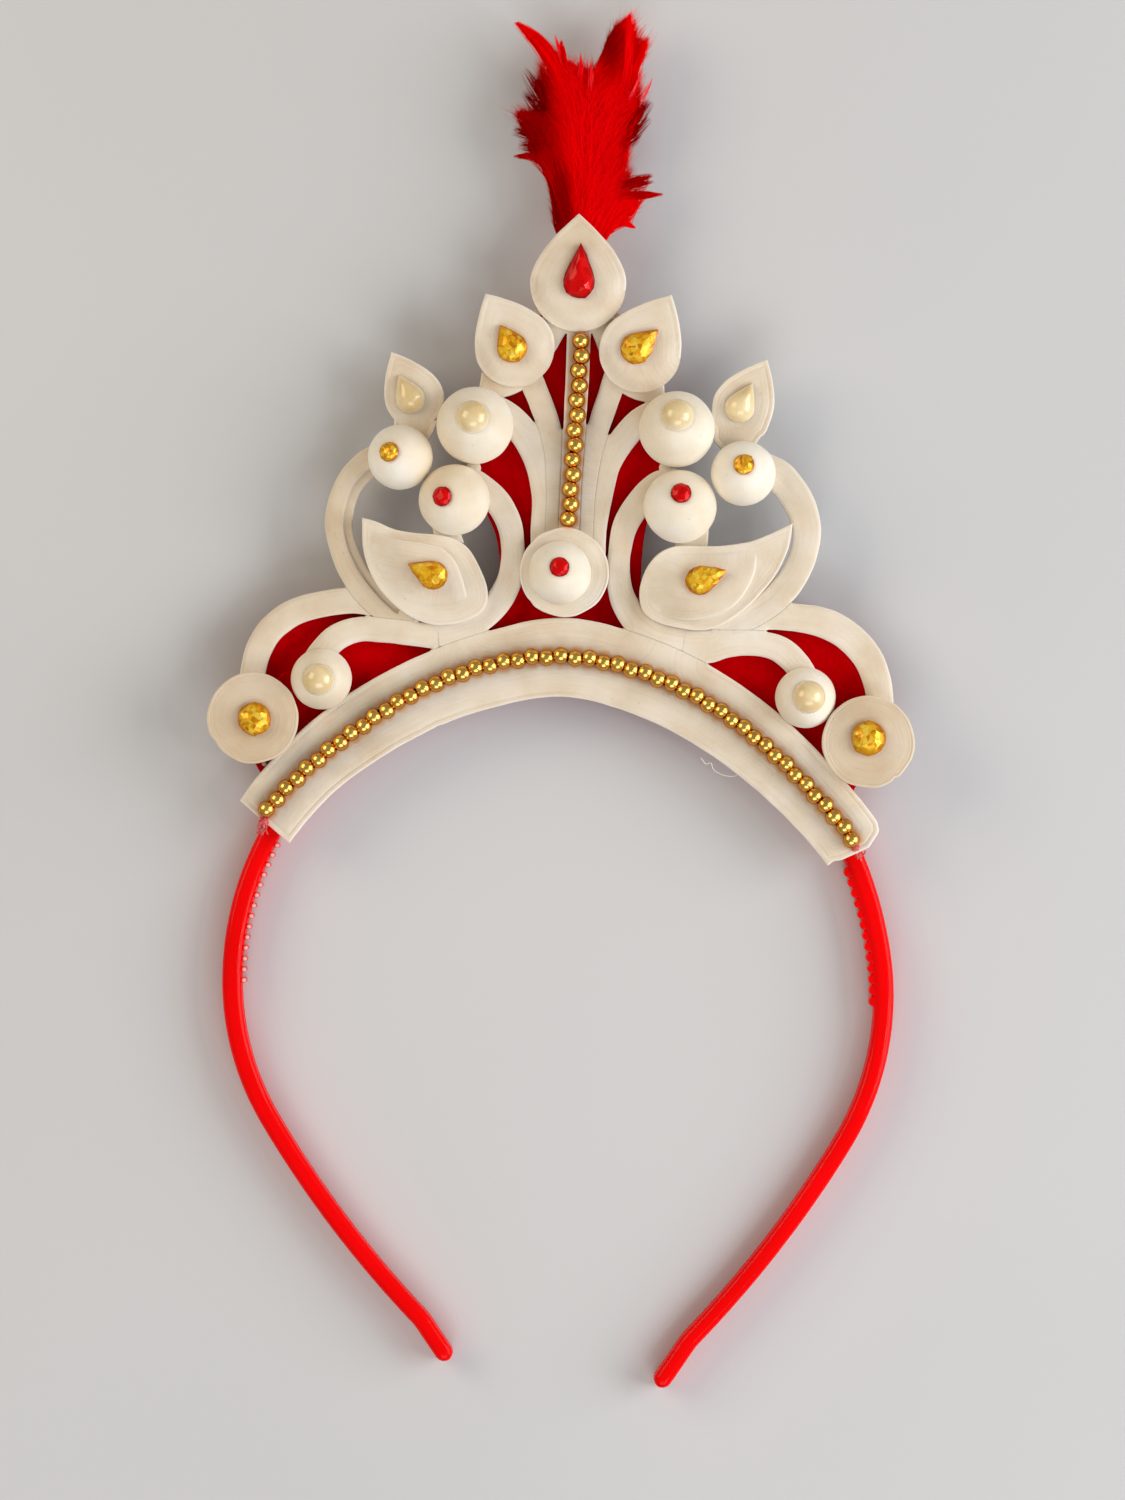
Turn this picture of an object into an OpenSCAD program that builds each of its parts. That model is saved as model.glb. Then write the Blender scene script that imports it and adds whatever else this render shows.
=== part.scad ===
// A mukut: a pierced crown of shola pith on a comb headband, with beads, stones and a plume.
// Lengths are in millimetres. It lies on its back: +Z comes out of its face, +Y runs from the
// band's tips to the plume, and the origin is where the band's inner side meets the head.

/* [Headband] */
// Mean radius of the band's half round over the head
band_r = 65.4; // [60:0.2:72]
// Thickness of the band in the plane of the head
band_t = 4; // [3:0.1:5]
// Thickness of the band at its two tips
band_tip_t = 3.6; // [2:0.1:4]
// Width of the band from back to front
band_h = 7; // [5:0.5:10]
// Number of comb teeth on each side
teeth = 13; // [5:1:16]
// Radius of a comb tooth
tooth_r = 0.8; // [0.5:0.05:1]
// How far a tooth stands out of the band
tooth_reach = 1.1; // [0.5:0.1:1.4]

/* [Layers] */
// Thickness of the red backing sheet
backing_t = 0.7; // [0.4:0.1:1]
// Thickness of the arch and of the cut strips
strip_t = 4; // [3:0.5:5]
// Thickness of the leaves and discs
leaf_t = 3; // [2:0.5:4]
// Thickness of a paisley's base sheet
paisley_t = 2.4; // [1.5:0.1:3]
// Thickness of a paisley's raised leaf
ridge_t = 1.8; // [1.5:0.1:3]
// Clearance between neighbouring pieces
gap = 0.1; // [0.05:0.01:0.15]
// Tilt of the crown on its band, in degrees, anticlockwise
crown_tilt = -2.1; // [-3:0.1:3]

/* [Beads] */
// Diameter of a gold bead
bead_d = 3.4; // [2.8:0.1:3.6]
// Diameter of the hole through a bead
bead_hole = 0.9; // [0.8:0.1:1.2]
// Thickness of the thread
thread_t = 0.5; // [0.3:0.05:0.5]
// Number of beads on the arch
arch_bead_n = 50; // [40:1:50]
// Number of beads on the centre post
post_bead_n = 13; // [8:1:13]
// Thread that shows beyond the last bead of a string
thread_end = 1.2; // [0.5:0.1:2]

/* [Stones] */
// Height of a faceted stone as a share of its radius
stone_rise = 0.68; // [0.5:0.02:0.8]
// Height of a drop pearl as a share of its radius
pearl_rise = 0.9; // [0.6:0.05:1]
// Facets round a round stone
stone_facets = 12; // [8:1:16]

/* [Hidden] */
$fn = 64;

LEFT = 0;
RIGHT = 1;

// Colours
pith = "ivory";
ruby = "crimson";
amber = "goldenrod";
pearl = "cornsilk";
gold = "gold";

// Heights of the layers over the band's back
backing_z = band_h + gap;
strip_z = backing_z + backing_t + gap;
leaf_z = strip_z + strip_t + gap;
top_z = leaf_z + leaf_t + gap;
ridge_z = leaf_z + paisley_t + gap;
paisley_top_z = ridge_z + ridge_t + gap;
bead_z = leaf_z + bead_d / 2;

// The crown is laid out round a point that lies this far above the origin
crown_y = 4.6;

// Centre of the band's half round
band_y = band_t / 2 - band_r;

// Each side of the band from its top to its tip: radius of the bend as a share of band_r,
// degrees of turn
BAND_BENDS = [
    [[1.01, 60], [0.945, 29], [0.835, 31.5], [3.35, 13], [-0.18, -10], [6, 1]],
    [[0.99, 70], [1.23, 12], [0.87, 39.5], [3.45, 12.5], [-0.18, -10], [6, 1.2]]];
// Degrees between two outline points on each of those bends
BAND_STEPS = [6, 6, 6, 2, 5, 2];
// How far below the half round's centre the band is at its thinnest
taper_reach = 70;
// Way along the band from its top to the first tooth on each side, and from tooth to tooth
TEETH = [[74.2, 2.25], [77.6, 2.28]];

// The arch about its own centre: angle from the top, inner radius, bead radius, outer radius
arch_u = 1.1;
arch_v = -68.5;
ARCH = [
    [-61.2, 60.3, 67.6, 73.1], [-50, 59.2, 66.2, 72.6], [-38, 58, 65.3, 72.2], [-26, 57.8, 65.8, 72.2],
    [-13, 58.2, 66.6, 73.2], [0, 59.2, 67.2, 75], [13, 58.2, 66.6, 73.6], [26, 57.4, 65.8, 72.5],
    [38, 57.4, 65.3, 72], [50, 58.4, 65.8, 72.2], [63.4, 60.9, 67.8, 74.2]];
// Corner cut off the arch's right end: u, v
ARCH_CORNER = [[62.8, -38.6], [66.4, -32.5], [70, -37]];
// Angles of the arch string's first and last bead
ARCH_BEADS = [-59.3, 60.9];
// Ends of the post string: u, v
POST_BEADS = [[1.25, 26.2], [2.45, 61.8]];

// Cut strips: u, v, width
POST = [[1.25, 21, 4], [1.35, 32, 4.1], [1.65, 44, 4.4], [1.85, 56, 4.7], [1.9, 68, 4.8]];
STEM = [
    [[-9.3, 58.5, 4.8], [-6.9, 53, 4.8], [-4.9, 48.5, 4.7], [-3.2, 44, 4.4], [-2.4, 38.5, 3.3],
        [-2.15, 31, 2.6], [-2.1, 22, 2.5]],
    [[10.2, 58, 4.7], [8.6, 52, 4.6], [7.1, 47, 4.5], [6, 43, 4.3], [5.3, 38, 3.5], [4.9, 31, 2.7],
        [4.85, 22, 2.5]]];
BRANCH = [
    [[-16.5, 48.8, 5.2], [-11.3, 46.1, 5.6], [-7.6, 41.8, 5.6], [-5.6, 36, 4], [-4.9, 30, 2.9],
        [-4.9, 24, 2.9], [-5, 21, 2.6]],
    [[19, 48.8, 5.2], [14.7, 46.4, 5.2], [10.9, 41.8, 5.2], [8.8, 37, 4.4], [7.9, 31, 3.8],
        [7.4, 25.5, 3.1], [7.3, 21, 2.8]]];
LOOP_INNER = [
    [[-22.3, 20, 5.6], [-23.6, 25, 5], [-23.6, 29.5, 4.4], [-22.5, 32.6, 4.2], [-19.8, 33.9, 4.6],
        [-16.7, 32.1, 5.3], [-13.2, 29.2, 5.3], [-10.8, 25.2, 5], [-9.8, 20.5, 4.7], [-9.8, 16, 4.8],
        [-10.8, 12, 5.1], [-13, 8.3, 5.3], [-16.2, 5.4, 5.3], [-20, 3.5, 5.2], [-24, 2.2, 5.6]],
    [[25.6, 18, 6.2], [26, 24, 6.4], [25.6, 30, 6], [22.9, 34.3, 5.2], [18.4, 33.6, 5.2],
        [14.8, 29.5, 5.2], [12.5, 25.3, 5], [11.7, 21, 4.5], [11.5, 17, 4.5], [11.9, 13, 4.9],
        [13.2, 9.5, 5.3], [15.6, 6.3, 5.4], [19.5, 3.8, 5.3], [25, 2.6, 5.4]]];
LOOP_OUTER = [
    [[-35.5, 37.8, 5.4], [-39.6, 35.7, 5.7], [-43.2, 31.3, 5.4], [-44.8, 25, 5.5], [-44.1, 20, 5.4],
        [-42.4, 15.8, 5.6], [-40.3, 12.4, 5.7], [-38, 9.7, 5.7], [-35.4, 7.4, 5.4], [-32.6, 5.6, 5],
        [-29, 4.6, 4.4]],
    [[38, 38.8, 5.6], [42.9, 36.4, 6.3], [46.7, 31.9, 6.2], [48.8, 26.5, 5.8], [48.4, 21, 5.4],
        [46.3, 16, 5.6], [43, 12, 5.6], [39, 8.9, 5.4], [34.6, 6.4, 4.8], [30.4, 5, 4.4]]];
SCROLL_INNER = [
    [[-24.2, 2, 5.4], [-28, 2.1, 4.9], [-34, 2.6, 4.8], [-40, 2.7, 4.9], [-44.2, 1, 5.2],
        [-47, -1.8, 5.2], [-49.3, -5.5, 5]],
    [[25.2, 2.3, 5.6], [29.6, 1.9, 6.8], [34, 2.5, 5.4], [38, 2.8, 5], [43, 2.3, 5.2],
        [46.5, 0.3, 5.3], [49, -2.6, 5.1], [50.8, -6, 5]]];
SCROLL_OUTER = [
    [[-61.2, -12, 5.2], [-60.9, -7, 5], [-60.1, -2.7, 5.1], [-58, 1.5, 5.2], [-54.9, 4.5, 5.3],
        [-51.1, 6.5, 5.3], [-47, 7.6, 5.2], [-42, 8.4, 5.2], [-37.2, 8.2, 5.3]],
    [[65, -12, 5.2], [64.7, -7, 5.3], [63.9, -3.3, 5.6], [61.9, 0.9, 5.9], [58.6, 4.4, 6],
        [54.6, 6.8, 6], [49.9, 8, 5.7], [44, 8.3, 5.3], [38.6, 8, 5.2]]];
// Short strips from the stems to the big balls, behind the middle leaves
FORK = [
    [[-8.6, 54.6, 4], [-12.4, 52.4, 4], [-17.6, 52.8, 4.4]],
    [[11, 54.2, 4], [14.8, 52.4, 3.8], [19.4, 52.6, 4.4]]];
// Corners of the post's head, which joins the three upper leaves: u, v
POST_HEAD = [[-7, 65], [-2.9, 59.6], [-0.9, 63.4], [4.5, 63.6], [6, 60.2], [10, 66], [5, 70], [-2, 70]];
// Width of the low ledge on the left outer loop's inner side, and its depth below the top
ledge_w = 1.8;
ledge_depth = 1.2;

// Edge of the backing on each side, from the arch's foot to the top leaf: u, v
BACKING = [
    [[-59.5, -25.5], [-62, -20], [-63, -12], [-62.3, -5], [-60.6, 0], [-57.6, 4.2], [-53, 7.4],
        [-47.5, 9], [-41, 9.4], [-34, 7.4], [-27, 5.2], [-20, 6.2], [-14.6, 9.4], [-12.6, 13],
        [-12.4, 18], [-13.6, 23.5], [-16, 28], [-18.4, 33], [-18.8, 39], [-17.5, 46],
        [-15.4, 52], [-14.4, 58], [-11, 63], [-6.6, 68], [-2.6, 72.4]],
    [[61, -24.5], [65, -19], [66.4, -12], [65.9, -5.5], [64.2, 0], [60.8, 4.6], [56, 7.6],
        [50.5, 9], [44, 9.2], [37, 8.2], [30, 5.4], [23, 6.2], [18, 8.6], [16.2, 12], [16.1, 16],
        [16.2, 20], [16.6, 24.5], [17.6, 29], [19.4, 34], [19.8, 40], [19, 46], [17.6, 52],
        [17, 58], [13, 63.5], [9, 68], [5.4, 72.4]]];
// How far the backing's lower edge lies inside the arch, and the angle it reaches on each side
backing_tuck = 1.6;
backing_reach = 60;

// Discs and balls: u, v, radius
END_DISC = [[-60.4, -15.8, 9.1], [62.6, -16.1, 9.2]];
CENTRE_DISC = [0.7, 15.5, 8.9];
PEARL_DOME = [[-47.1, -7.5, 6.1], [49.8, -7.7, 6.1]];
CENTRE_DOME = [-0.2, 15.4, 6.3];
BIG_BALL = [[-18.2, 44.2, 7.7], [22.1, 44.9, 7.6]];
RED_BALL = [[-21.8, 29.2, 7.1], [23.3, 29.5, 7.3]];
AMBER_BALL = [[-32.9, 37.3, 6.5], [35.7, 36.6, 6.5]];
// Height of a ball's centre and of a dome's centre over its seat, as a share of its radius
ball_lift = 0.3;
dome_lift = 0;

// Leaves: u and v of the round end, its radius, u and v of the tip
SIDE_LEAF = [[-30.5, 49.3, 5.9, -35.5, 58.4], [35.2, 50, 6.1, 39.7, 59.6]];
MID_LEAF = [[-10.9, 60.2, 8, -17.1, 70.6], [14.2, 60.2, 8.2, 20.1, 71.7]];
TOP_LEAF = [1.35, 73.3, 9.6, 1, 87.2];
// How full a leaf's two long sides are, as a share of its length
leaf_fullness = 0.4;
// Stalk of a side leaf, under the balls: u, v, width
STALK = [
    [[-29.9, 46, 8.6], [-30.6, 43.4, 8], [-31.6, 40.5, 6]],
    [[34.8, 47, 8], [34.6, 43.5, 7], [34.4, 41, 6]]];

// Outlines of the paisleys, from the tip round to the tip: u, v
PAISLEY = [
    [[-40.1, 25], [-37.2, 24.3], [-33.6, 22.9], [-29.5, 22.3], [-25.2, 22.1], [-21.9, 21.5],
        [-18.9, 19.8], [-16.6, 16.6], [-14.8, 12.6], [-14.5, 9], [-16.2, 6.5], [-20.2, 4.6],
        [-25, 4.1], [-30, 5.7], [-34.9, 9.5], [-38.1, 14.1], [-39.7, 19.3], [-40.1, 25]],
    [[45.9, 27], [42, 24.9], [37.5, 23], [33, 22.1], [27.8, 21.7], [22.6, 21.5], [18.8, 19.4],
        [16.5, 15.6], [15.9, 10.9], [17.6, 7.3], [22.5, 5.5], [29.8, 5.1], [35.4, 8.1],
        [40.2, 12.8], [43.6, 17.9], [45.4, 22.7], [45.9, 27]]];
PAISLEY_RIDGE = [
    [[-38.9, 22.8], [-34, 21.1], [-29, 20.4], [-24.6, 19.6], [-21.6, 17.5], [-19.7, 13.8],
        [-18.7, 8.7], [-23, 7.7], [-28, 8.1], [-32.8, 10.4], [-36.6, 14.6], [-38.4, 18.6],
        [-38.9, 22.8]],
    [[39, 22.2], [33.6, 20.7], [27.5, 20.1], [22.6, 19.6], [19.4, 17.4], [17.8, 13.8],
        [18.1, 9.9], [21.4, 7.4], [27, 6.9], [33.6, 9.2], [37, 13], [38.7, 17.3], [39, 22.2]]];

// Stones: u, v, radius
END_STONE = [[-60, -16, 3.3], [62.6, -15.4, 3.5]];
CENTRE_STONE = [-0.3, 16.3, 2];
DOME_PEARL = [[-47.8, -7.8, 2.9], [50.6, -7.6, 3]];
BALL_PEARL = [[-18.8, 45.8, 3], [22, 47.6, 3]];
RED_STONE = [[-24, 29.5, 2], [23.3, 31.8, 2.1]];
AMBER_STONE = [[-34.9, 38, 2], [35.6, 38, 2.1]];
// Drops: u and v of the round end, its radius, u and v of the tip
TOP_DROP = [1.5, 73.4, 3.2, 1.6, 81.1];
MID_DROP = [[-11.4, 60, 3.1, -13.9, 64.4], [13.3, 60.6, 3.1, 17.7, 64.6]];
PAISLEY_DROP = [[-25.4, 13.9, 2.9, -30.6, 16], [27.8, 14.8, 2.9, 33, 17.1]];
DROP_PEARL = [[-31.4, 49.2, 3, -33.9, 53.9], [34.6, 49.8, 3, 37, 54.8]];
// How full a drop's long sides are, as a share of its length
drop_fullness = 0.25;
// Rings of a faceted stone: scale of the outline, share of the height
STONE_RINGS = [[0.86, 0], [1, 0.3], [0.86, 0.68], [0.6, 1]];
// Rings of a drop pearl: degrees up its round side
PEARL_RINGS = [0, 18, 36, 54, 72, 84];

// Locks of the plume: x and y of the tip, y where it leaves the quill, height of the tip
LOCKS = [
    [-8.2, 125.4, 108, 9], [-0.6, 123.2, 110, 12], [-3.6, 119.5, 100, 5], [4.4, 119.6, 104, 7],
    [7, 118.6, 106, 13], [11.4, 124.6, 108, 6], [14.6, 127.8, 108, 10], [18, 122.4, 106, 13],
    [16.6, 116.4, 102, 5], [19, 114.6, 101, 12], [17.2, 110, 98, 8], [18.8, 104.6, 94, 5],
    [16, 101, 94, 13], [18.8, 95.2, 91, 6], [20.8, 91.1, 89, 10], [17.2, 90, 87.5, 13],
    [15, 86.6, 86, 7], [-6.8, 116.4, 103, 12], [-8.6, 107.8, 99, 6], [-7.6, 111.4, 101, 14],
    [-9, 104.2, 98, 10], [-8.6, 99, 96, 13], [-7, 98.8, 95, 5], [-2.3, 95.4, 90, 12],
    [-1.2, 90, 87, 7], [1.4, 120, 106, 4], [9.4, 118, 106, 5], [4, 112, 100, 14.5]];
// Quill of the plume: x, y, z
QUILL = [[3.8, 74, 9.5], [4.6, 86, 9.3], [6, 100, 9.3], [6.6, 111, 9.2]];
quill_r = 1.5;
// Radius of a lock, and of its tip
lock_r = 2.5;
lock_tip_r = 0.5;
// How far a lock bows down, as a share of its reach to the side
lock_sag = 0.04;

// Turns a polar place about the arch's centre into u and v
function arch_point(angle, r) = [arch_u + r * sin(angle), arch_v + r * cos(angle)];

// A value on the smooth curve through p, one row for each whole number of s
function smooth(p, s) =
    let (n = len(p), i = max(0, min(floor(s), n - 2)), t = s - i,
        a = p[max(i - 1, 0)], b = p[i], c = p[i + 1], d = p[min(i + 2, n - 1)])
    (2 * b + (c - a) * t + (2 * a - 5 * b + 4 * c - d) * t * t
        + (3 * b - a - 3 * c + d) * t * t * t) / 2;

// The same curve as a list, with k steps from row to row
function smooth_list(p, k) = [for (i = [0 : (len(p) - 1) * k]) smooth(p, i / k)];

function plan(p) = [p[0], p[1]];
function unit(p) = p / norm(p);
function reversed(p) = [for (i = [len(p) - 1 : -1 : 0]) p[i]];

// The left-hand normal of the curve at point i of a list
function normal(p, i) =
    let (a = plan(p[max(i - 1, 0)]), b = plan(p[min(i + 1, len(p) - 1)]), d = unit(b - a))
    [-d[1], d[0]];

// One edge of a strip: the curve moved sideways by share widths, and by more
function edge(p, share, more) =
    [for (i = [0 : len(p) - 1]) plan(p[i]) + normal(p, i) * (share * p[i][2] + more)];

// Outline of a strip grown by more on each long side
function strip(rows, more = 0) =
    let (p = smooth_list(rows, 4))
    concat(edge(p, 0.5, more), reversed(edge(p, -0.5, -more)));

// Outline of what is cut off a strip's inner side to leave a ledge, clear of its two ends
function ledge(rows) =
    let (p = smooth_list(rows, 4), q = [for (i = [4 : len(p) - 5]) p[i]])
    concat(edge(q, 0.5, ledge_w), reversed(edge(q, 0.5, -ledge_w)));

// Outline of the arch, grown by more on its two round sides
function arch_outline(more = 0) =
    let (p = smooth_list(ARCH, 4))
    concat([for (q = p) arch_point(q[0], q[3] + more)],
        [for (q = reversed(p)) arch_point(q[0], q[1] - more)]);

// Outline of a leaf or drop with its round end at the origin and its tip along +X
function leaf(r, reach, fullness, n) =
    let (flank = [for (i = [0 : n - 1]) let (t = i / n)
            (1 - t) * (1 - t) * [reach, 0] + 2 * t * (1 - t) * [fullness * reach, r] + t * t * [0, r]])
    concat(flank, [for (i = [0 : 2 * n]) r * [cos(90 + 90 * i / n), sin(90 + 90 * i / n)]],
        [for (i = [n - 1 : -1 : 1]) [flank[i][0], -flank[i][1]]]);

// Outline of a round stone
function ring(r, n) = [for (i = [0 : n - 1]) r * [cos(360 * i / n), sin(360 * i / n)]];

// Place and heading after a bend of radius r through turn degrees
function bend(s, r, turn) =
    [s[0] + r * (sin(s[2] + turn) - sin(s[2])), s[1] - r * (cos(s[2] + turn) - cos(s[2])), s[2] + turn];

// Place and heading on bend i of a side of the band, after turn degrees of it
function on_bend(rows, i, turn) = bend(bend_start(rows, i), band_r * rows[i][0], turn);
function bend_start(rows, i) =
    i == 0 ? [0, band_y + band_r, 180] : on_bend(rows, i - 1, rows[i - 1][1]);

// Places along one side of the band: x, y, heading
function band_path(rows) = [for (i = [0 : len(rows) - 1])
    let (k = ceil(abs(rows[i][1]) / BAND_STEPS[i]))
    for (j = [i == 0 ? 0 : 1 : k]) on_bend(rows, i, rows[i][1] * j / k)];

// Place and heading at a way along one side of the band, counted from bend i
function band_at(rows, way, i = 0) =
    let (turn = way / (band_r * rows[i][0]) * 180 / PI)
    turn <= rows[i][1] ? on_bend(rows, i, turn)
        : band_at(rows, way - band_r * rows[i][0] * rows[i][1] * PI / 180, i + 1);

// Direction from a place on the band out of its outer face
function outward(p) = [sin(p[2]), -cos(p[2])];

// Half the band's thickness, which falls from the half round's centre to the tip
function band_half(p) =
    let (share = max(0, min(1, (band_y - p[1]) / taper_reach)))
    (band_t - (band_t - band_tip_t) * share) / 2;

// One side of the band, outer face, round tip and inner face, as left-hand points
function band_side(rows) =
    let (p = band_path(rows), last = p[len(p) - 1], r = band_half(last))
    concat([for (q = p) plan(q) + band_half(q) * outward(q)],
        [for (a = [-60 : 30 : 60]) plan(last) + r * [cos(last[2] + a), sin(last[2] + a)]],
        [for (q = reversed(p)) plan(q) - band_half(q) * outward(q)]);

// Puts a piece of the crown, laid out in u and v, on the band
module on_crown() {
    translate([0, crown_y, 0]) rotate([0, 0, crown_tilt]) children();
}

// A flat piece of the crown with its underside at height z
module sheet(z, t) {
    on_crown() translate([0, 0, z]) linear_extrude(t) children();
}

module headband() {
    color("red") {
        arm(LEFT);
        mirror([1, 0, 0]) arm(RIGHT);
    }
}

// One side of the band with its comb, as if it were the left one
module arm(side) {
    linear_extrude(band_h) polygon(band_side(BAND_BENDS[side]));
    for (i = [0 : teeth - 1]) {
        p = band_at(BAND_BENDS[side], TEETH[side][0] + TEETH[side][1] * i);
        place = plan(p) - (band_t / 2 + tooth_reach - tooth_r) * outward(p);
        translate([place[0], place[1], tooth_r]) comb_tooth();
    }
}

module comb_tooth() {
    cylinder(h = band_h - 2 * tooth_r, r = tooth_r, $fn = 24);
}

module backing() {
    lower = [for (a = [backing_reach : -6 : -backing_reach])
        arch_point(a, smooth(ARCH, arch_row(a))[1] + backing_tuck)];
    color("darkred") sheet(backing_z, backing_t)
        polygon(concat(lower, smooth_list(BACKING[LEFT], 3), reversed(smooth_list(BACKING[RIGHT], 3))));
}

module base_arch() {
    color(pith) sheet(strip_z, strip_t) difference() {
        polygon(arch_outline());
        polygon(ARCH_CORNER);
    }
}

module centre_post() {
    color(pith) {
        sheet(strip_z, strip_t) polygon(strip(POST));
        sheet(strip_z, strip_t) polygon(POST_HEAD);
    }
}

module stem(side) {
    color(pith) sheet(strip_z, strip_t) difference() {
        union() {
            polygon(strip(STEM[side]));
            polygon(strip(FORK[side]));
        }
        polygon(strip(POST, gap));
    }
}

module branch(side) {
    color(pith) sheet(strip_z, strip_t) difference() {
        polygon(strip(BRANCH[side]));
        polygon(strip(STEM[side], gap));
        polygon(strip(FORK[side], gap));
        polygon(strip(LOOP_INNER[side], gap));
    }
}

module loop_inner(side) {
    color(pith) sheet(strip_z, strip_t) difference() {
        polygon(strip(LOOP_INNER[side]));
        polygon(arch_outline(gap));
    }
}

module loop_outer(side) {
    color(pith) difference() {
        sheet(strip_z, strip_t) difference() {
            polygon(strip(LOOP_OUTER[side]));
            polygon(strip(SCROLL_INNER[side], gap));
        }
        if (side == LEFT) {
            sheet(leaf_z - gap - ledge_depth, strip_t) polygon(ledge(LOOP_OUTER[side]));
        }
    }
}

module scroll_inner(side) {
    color(pith) sheet(strip_z, strip_t) difference() {
        polygon(strip(SCROLL_INNER[side]));
        polygon(strip(LOOP_INNER[side], gap));
        polygon(arch_outline(gap));
    }
}

module scroll_outer(side) {
    color(pith) sheet(strip_z, strip_t) difference() {
        polygon(strip(SCROLL_OUTER[side]));
        polygon(strip(LOOP_OUTER[side], gap));
        polygon(strip(SCROLL_INNER[side], gap));
    }
}

module disc(row) {
    color(pith) sheet(leaf_z, leaf_t) translate([row[0], row[1]]) circle(row[2]);
}

module end_disc(side) {
    disc(END_DISC[side]);
}

module centre_disc() {
    disc(CENTRE_DISC);
}

// Moves its children to the place on a ball where a stone sits, +Z out of the ball
module on_ball(ball, lift, z, stone) {
    d = [stone[0] - ball[0], stone[1] - ball[1]];
    seat = sqrt(ball[2] * ball[2] - pow(stone[2] + gap, 2));
    on_crown() translate([ball[0], ball[1], z + lift * ball[2]]) rotate([0, 0, atan2(d[1], d[0])])
        rotate([0, asin(norm(d) / seat), 0]) translate([0, 0, seat]) children();
}

// A ball cut flat where it is glued down and where its stone sits
module ball(row, lift, z, stone) {
    color(pith) difference() {
        on_crown() translate([row[0], row[1], z + lift * row[2]]) sphere(row[2]);
        on_crown() translate([row[0], row[1], z - row[2]]) cube(2 * row[2], center = true);
        on_ball(row, lift, z, stone) cylinder(h = row[2], r = row[2]);
    }
}

module pearl_dome(side) {
    ball(PEARL_DOME[side], dome_lift, leaf_z, DOME_PEARL[side]);
}

module centre_dome() {
    ball(CENTRE_DOME, dome_lift, top_z, CENTRE_STONE);
}

module big_ball(side) {
    ball(BIG_BALL[side], ball_lift, leaf_z, BALL_PEARL[side]);
}

module red_ball(side) {
    ball(RED_BALL[side], ball_lift, leaf_z, RED_STONE[side]);
}

module amber_ball(side) {
    ball(AMBER_BALL[side], ball_lift, leaf_z, AMBER_STONE[side]);
}

// A half round pearl on a ball
module pearl_on(row, lift, z, stone) {
    r = stone[2];
    color(pearl) on_ball(row, lift, z, stone) translate([0, 0, gap]) difference() {
        sphere(r);
        translate([0, 0, -r]) cube(2 * r, center = true);
    }
}

module dome_pearl(side) {
    pearl_on(PEARL_DOME[side], dome_lift, leaf_z, DOME_PEARL[side]);
}

module ball_pearl(side) {
    pearl_on(BIG_BALL[side], ball_lift, leaf_z, BALL_PEARL[side]);
}

// A closed solid through copies of an outline, each with its own scale and height
module ringed(outline, rings) {
    n = len(outline);
    m = len(rings);
    points = [for (q = rings) for (p = outline) [p[0] * q[0], p[1] * q[0], q[1]]];
    sides = [for (k = [0 : m - 2]) for (i = [0 : n - 1])
        [k * n + i, (k + 1) * n + i, (k + 1) * n + (i + 1) % n, k * n + (i + 1) % n]];
    polyhedron(points, concat([[for (i = [0 : n - 1]) i]],
        [[for (i = [n - 1 : -1 : 0]) (m - 1) * n + i]], sides));
}

// A cut stone of outline p and height h on the plane z = 0
module cut_stone(p, h) {
    ringed(p, [for (q = STONE_RINGS) [q[0], q[1] * h]]);
}

// A round stone on a ball
module stone_on(row, lift, z, stone, c) {
    color(c) on_ball(row, lift, z, stone) translate([0, 0, gap])
        cut_stone(ring(stone[2], stone_facets), stone_rise * stone[2]);
}

module red_stone(side) {
    stone_on(RED_BALL[side], ball_lift, leaf_z, RED_STONE[side], ruby);
}

module amber_stone(side) {
    stone_on(AMBER_BALL[side], ball_lift, leaf_z, AMBER_STONE[side], amber);
}

module centre_stone() {
    stone_on(CENTRE_DOME, dome_lift, top_z, CENTRE_STONE, ruby);
}

module end_stone(side) {
    row = END_STONE[side];
    color(amber) on_crown() translate([row[0], row[1], top_z])
        cut_stone(ring(row[2], stone_facets), stone_rise * row[2]);
}

// Lays its children along a leaf or drop, with the round end at the origin, at height z
module along(row, z) {
    on_crown() translate([row[0], row[1], z]) rotate([0, 0, atan2(row[4] - row[1], row[3] - row[0])])
        children();
}

function reach(row) = norm([row[3] - row[0], row[4] - row[1]]);

module drop_stone(row, z, c) {
    color(c) along(row, z) cut_stone(leaf(row[2], reach(row), drop_fullness, 3), stone_rise * row[2]);
}

module mid_drop(side) {
    drop_stone(MID_DROP[side], top_z, amber);
}

module top_drop() {
    drop_stone(TOP_DROP, top_z, ruby);
}

module paisley_drop(side) {
    drop_stone(PAISLEY_DROP[side], paisley_top_z, amber);
}

module drop_pearl(side) {
    row = DROP_PEARL[side];
    color(pearl) along(row, leaf_z) ringed(leaf(row[2], reach(row), drop_fullness, 5),
        [for (a = PEARL_RINGS) [cos(a), pearl_rise * row[2] * sin(a)]]);
}

module leaf_plan(row) {
    translate([row[0], row[1]]) rotate(atan2(row[4] - row[1], row[3] - row[0]))
        polygon(leaf(row[2], reach(row), leaf_fullness, 8));
}

module side_leaf(side) {
    color(pith) {
        sheet(strip_z, strip_t) difference() {
            leaf_plan(SIDE_LEAF[side]);
            polygon(strip(LOOP_OUTER[side], gap));
        }
        sheet(strip_z, strip_t) difference() {
            polygon(strip(STALK[side]));
            polygon(strip(LOOP_OUTER[side], gap));
        }
    }
}

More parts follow.
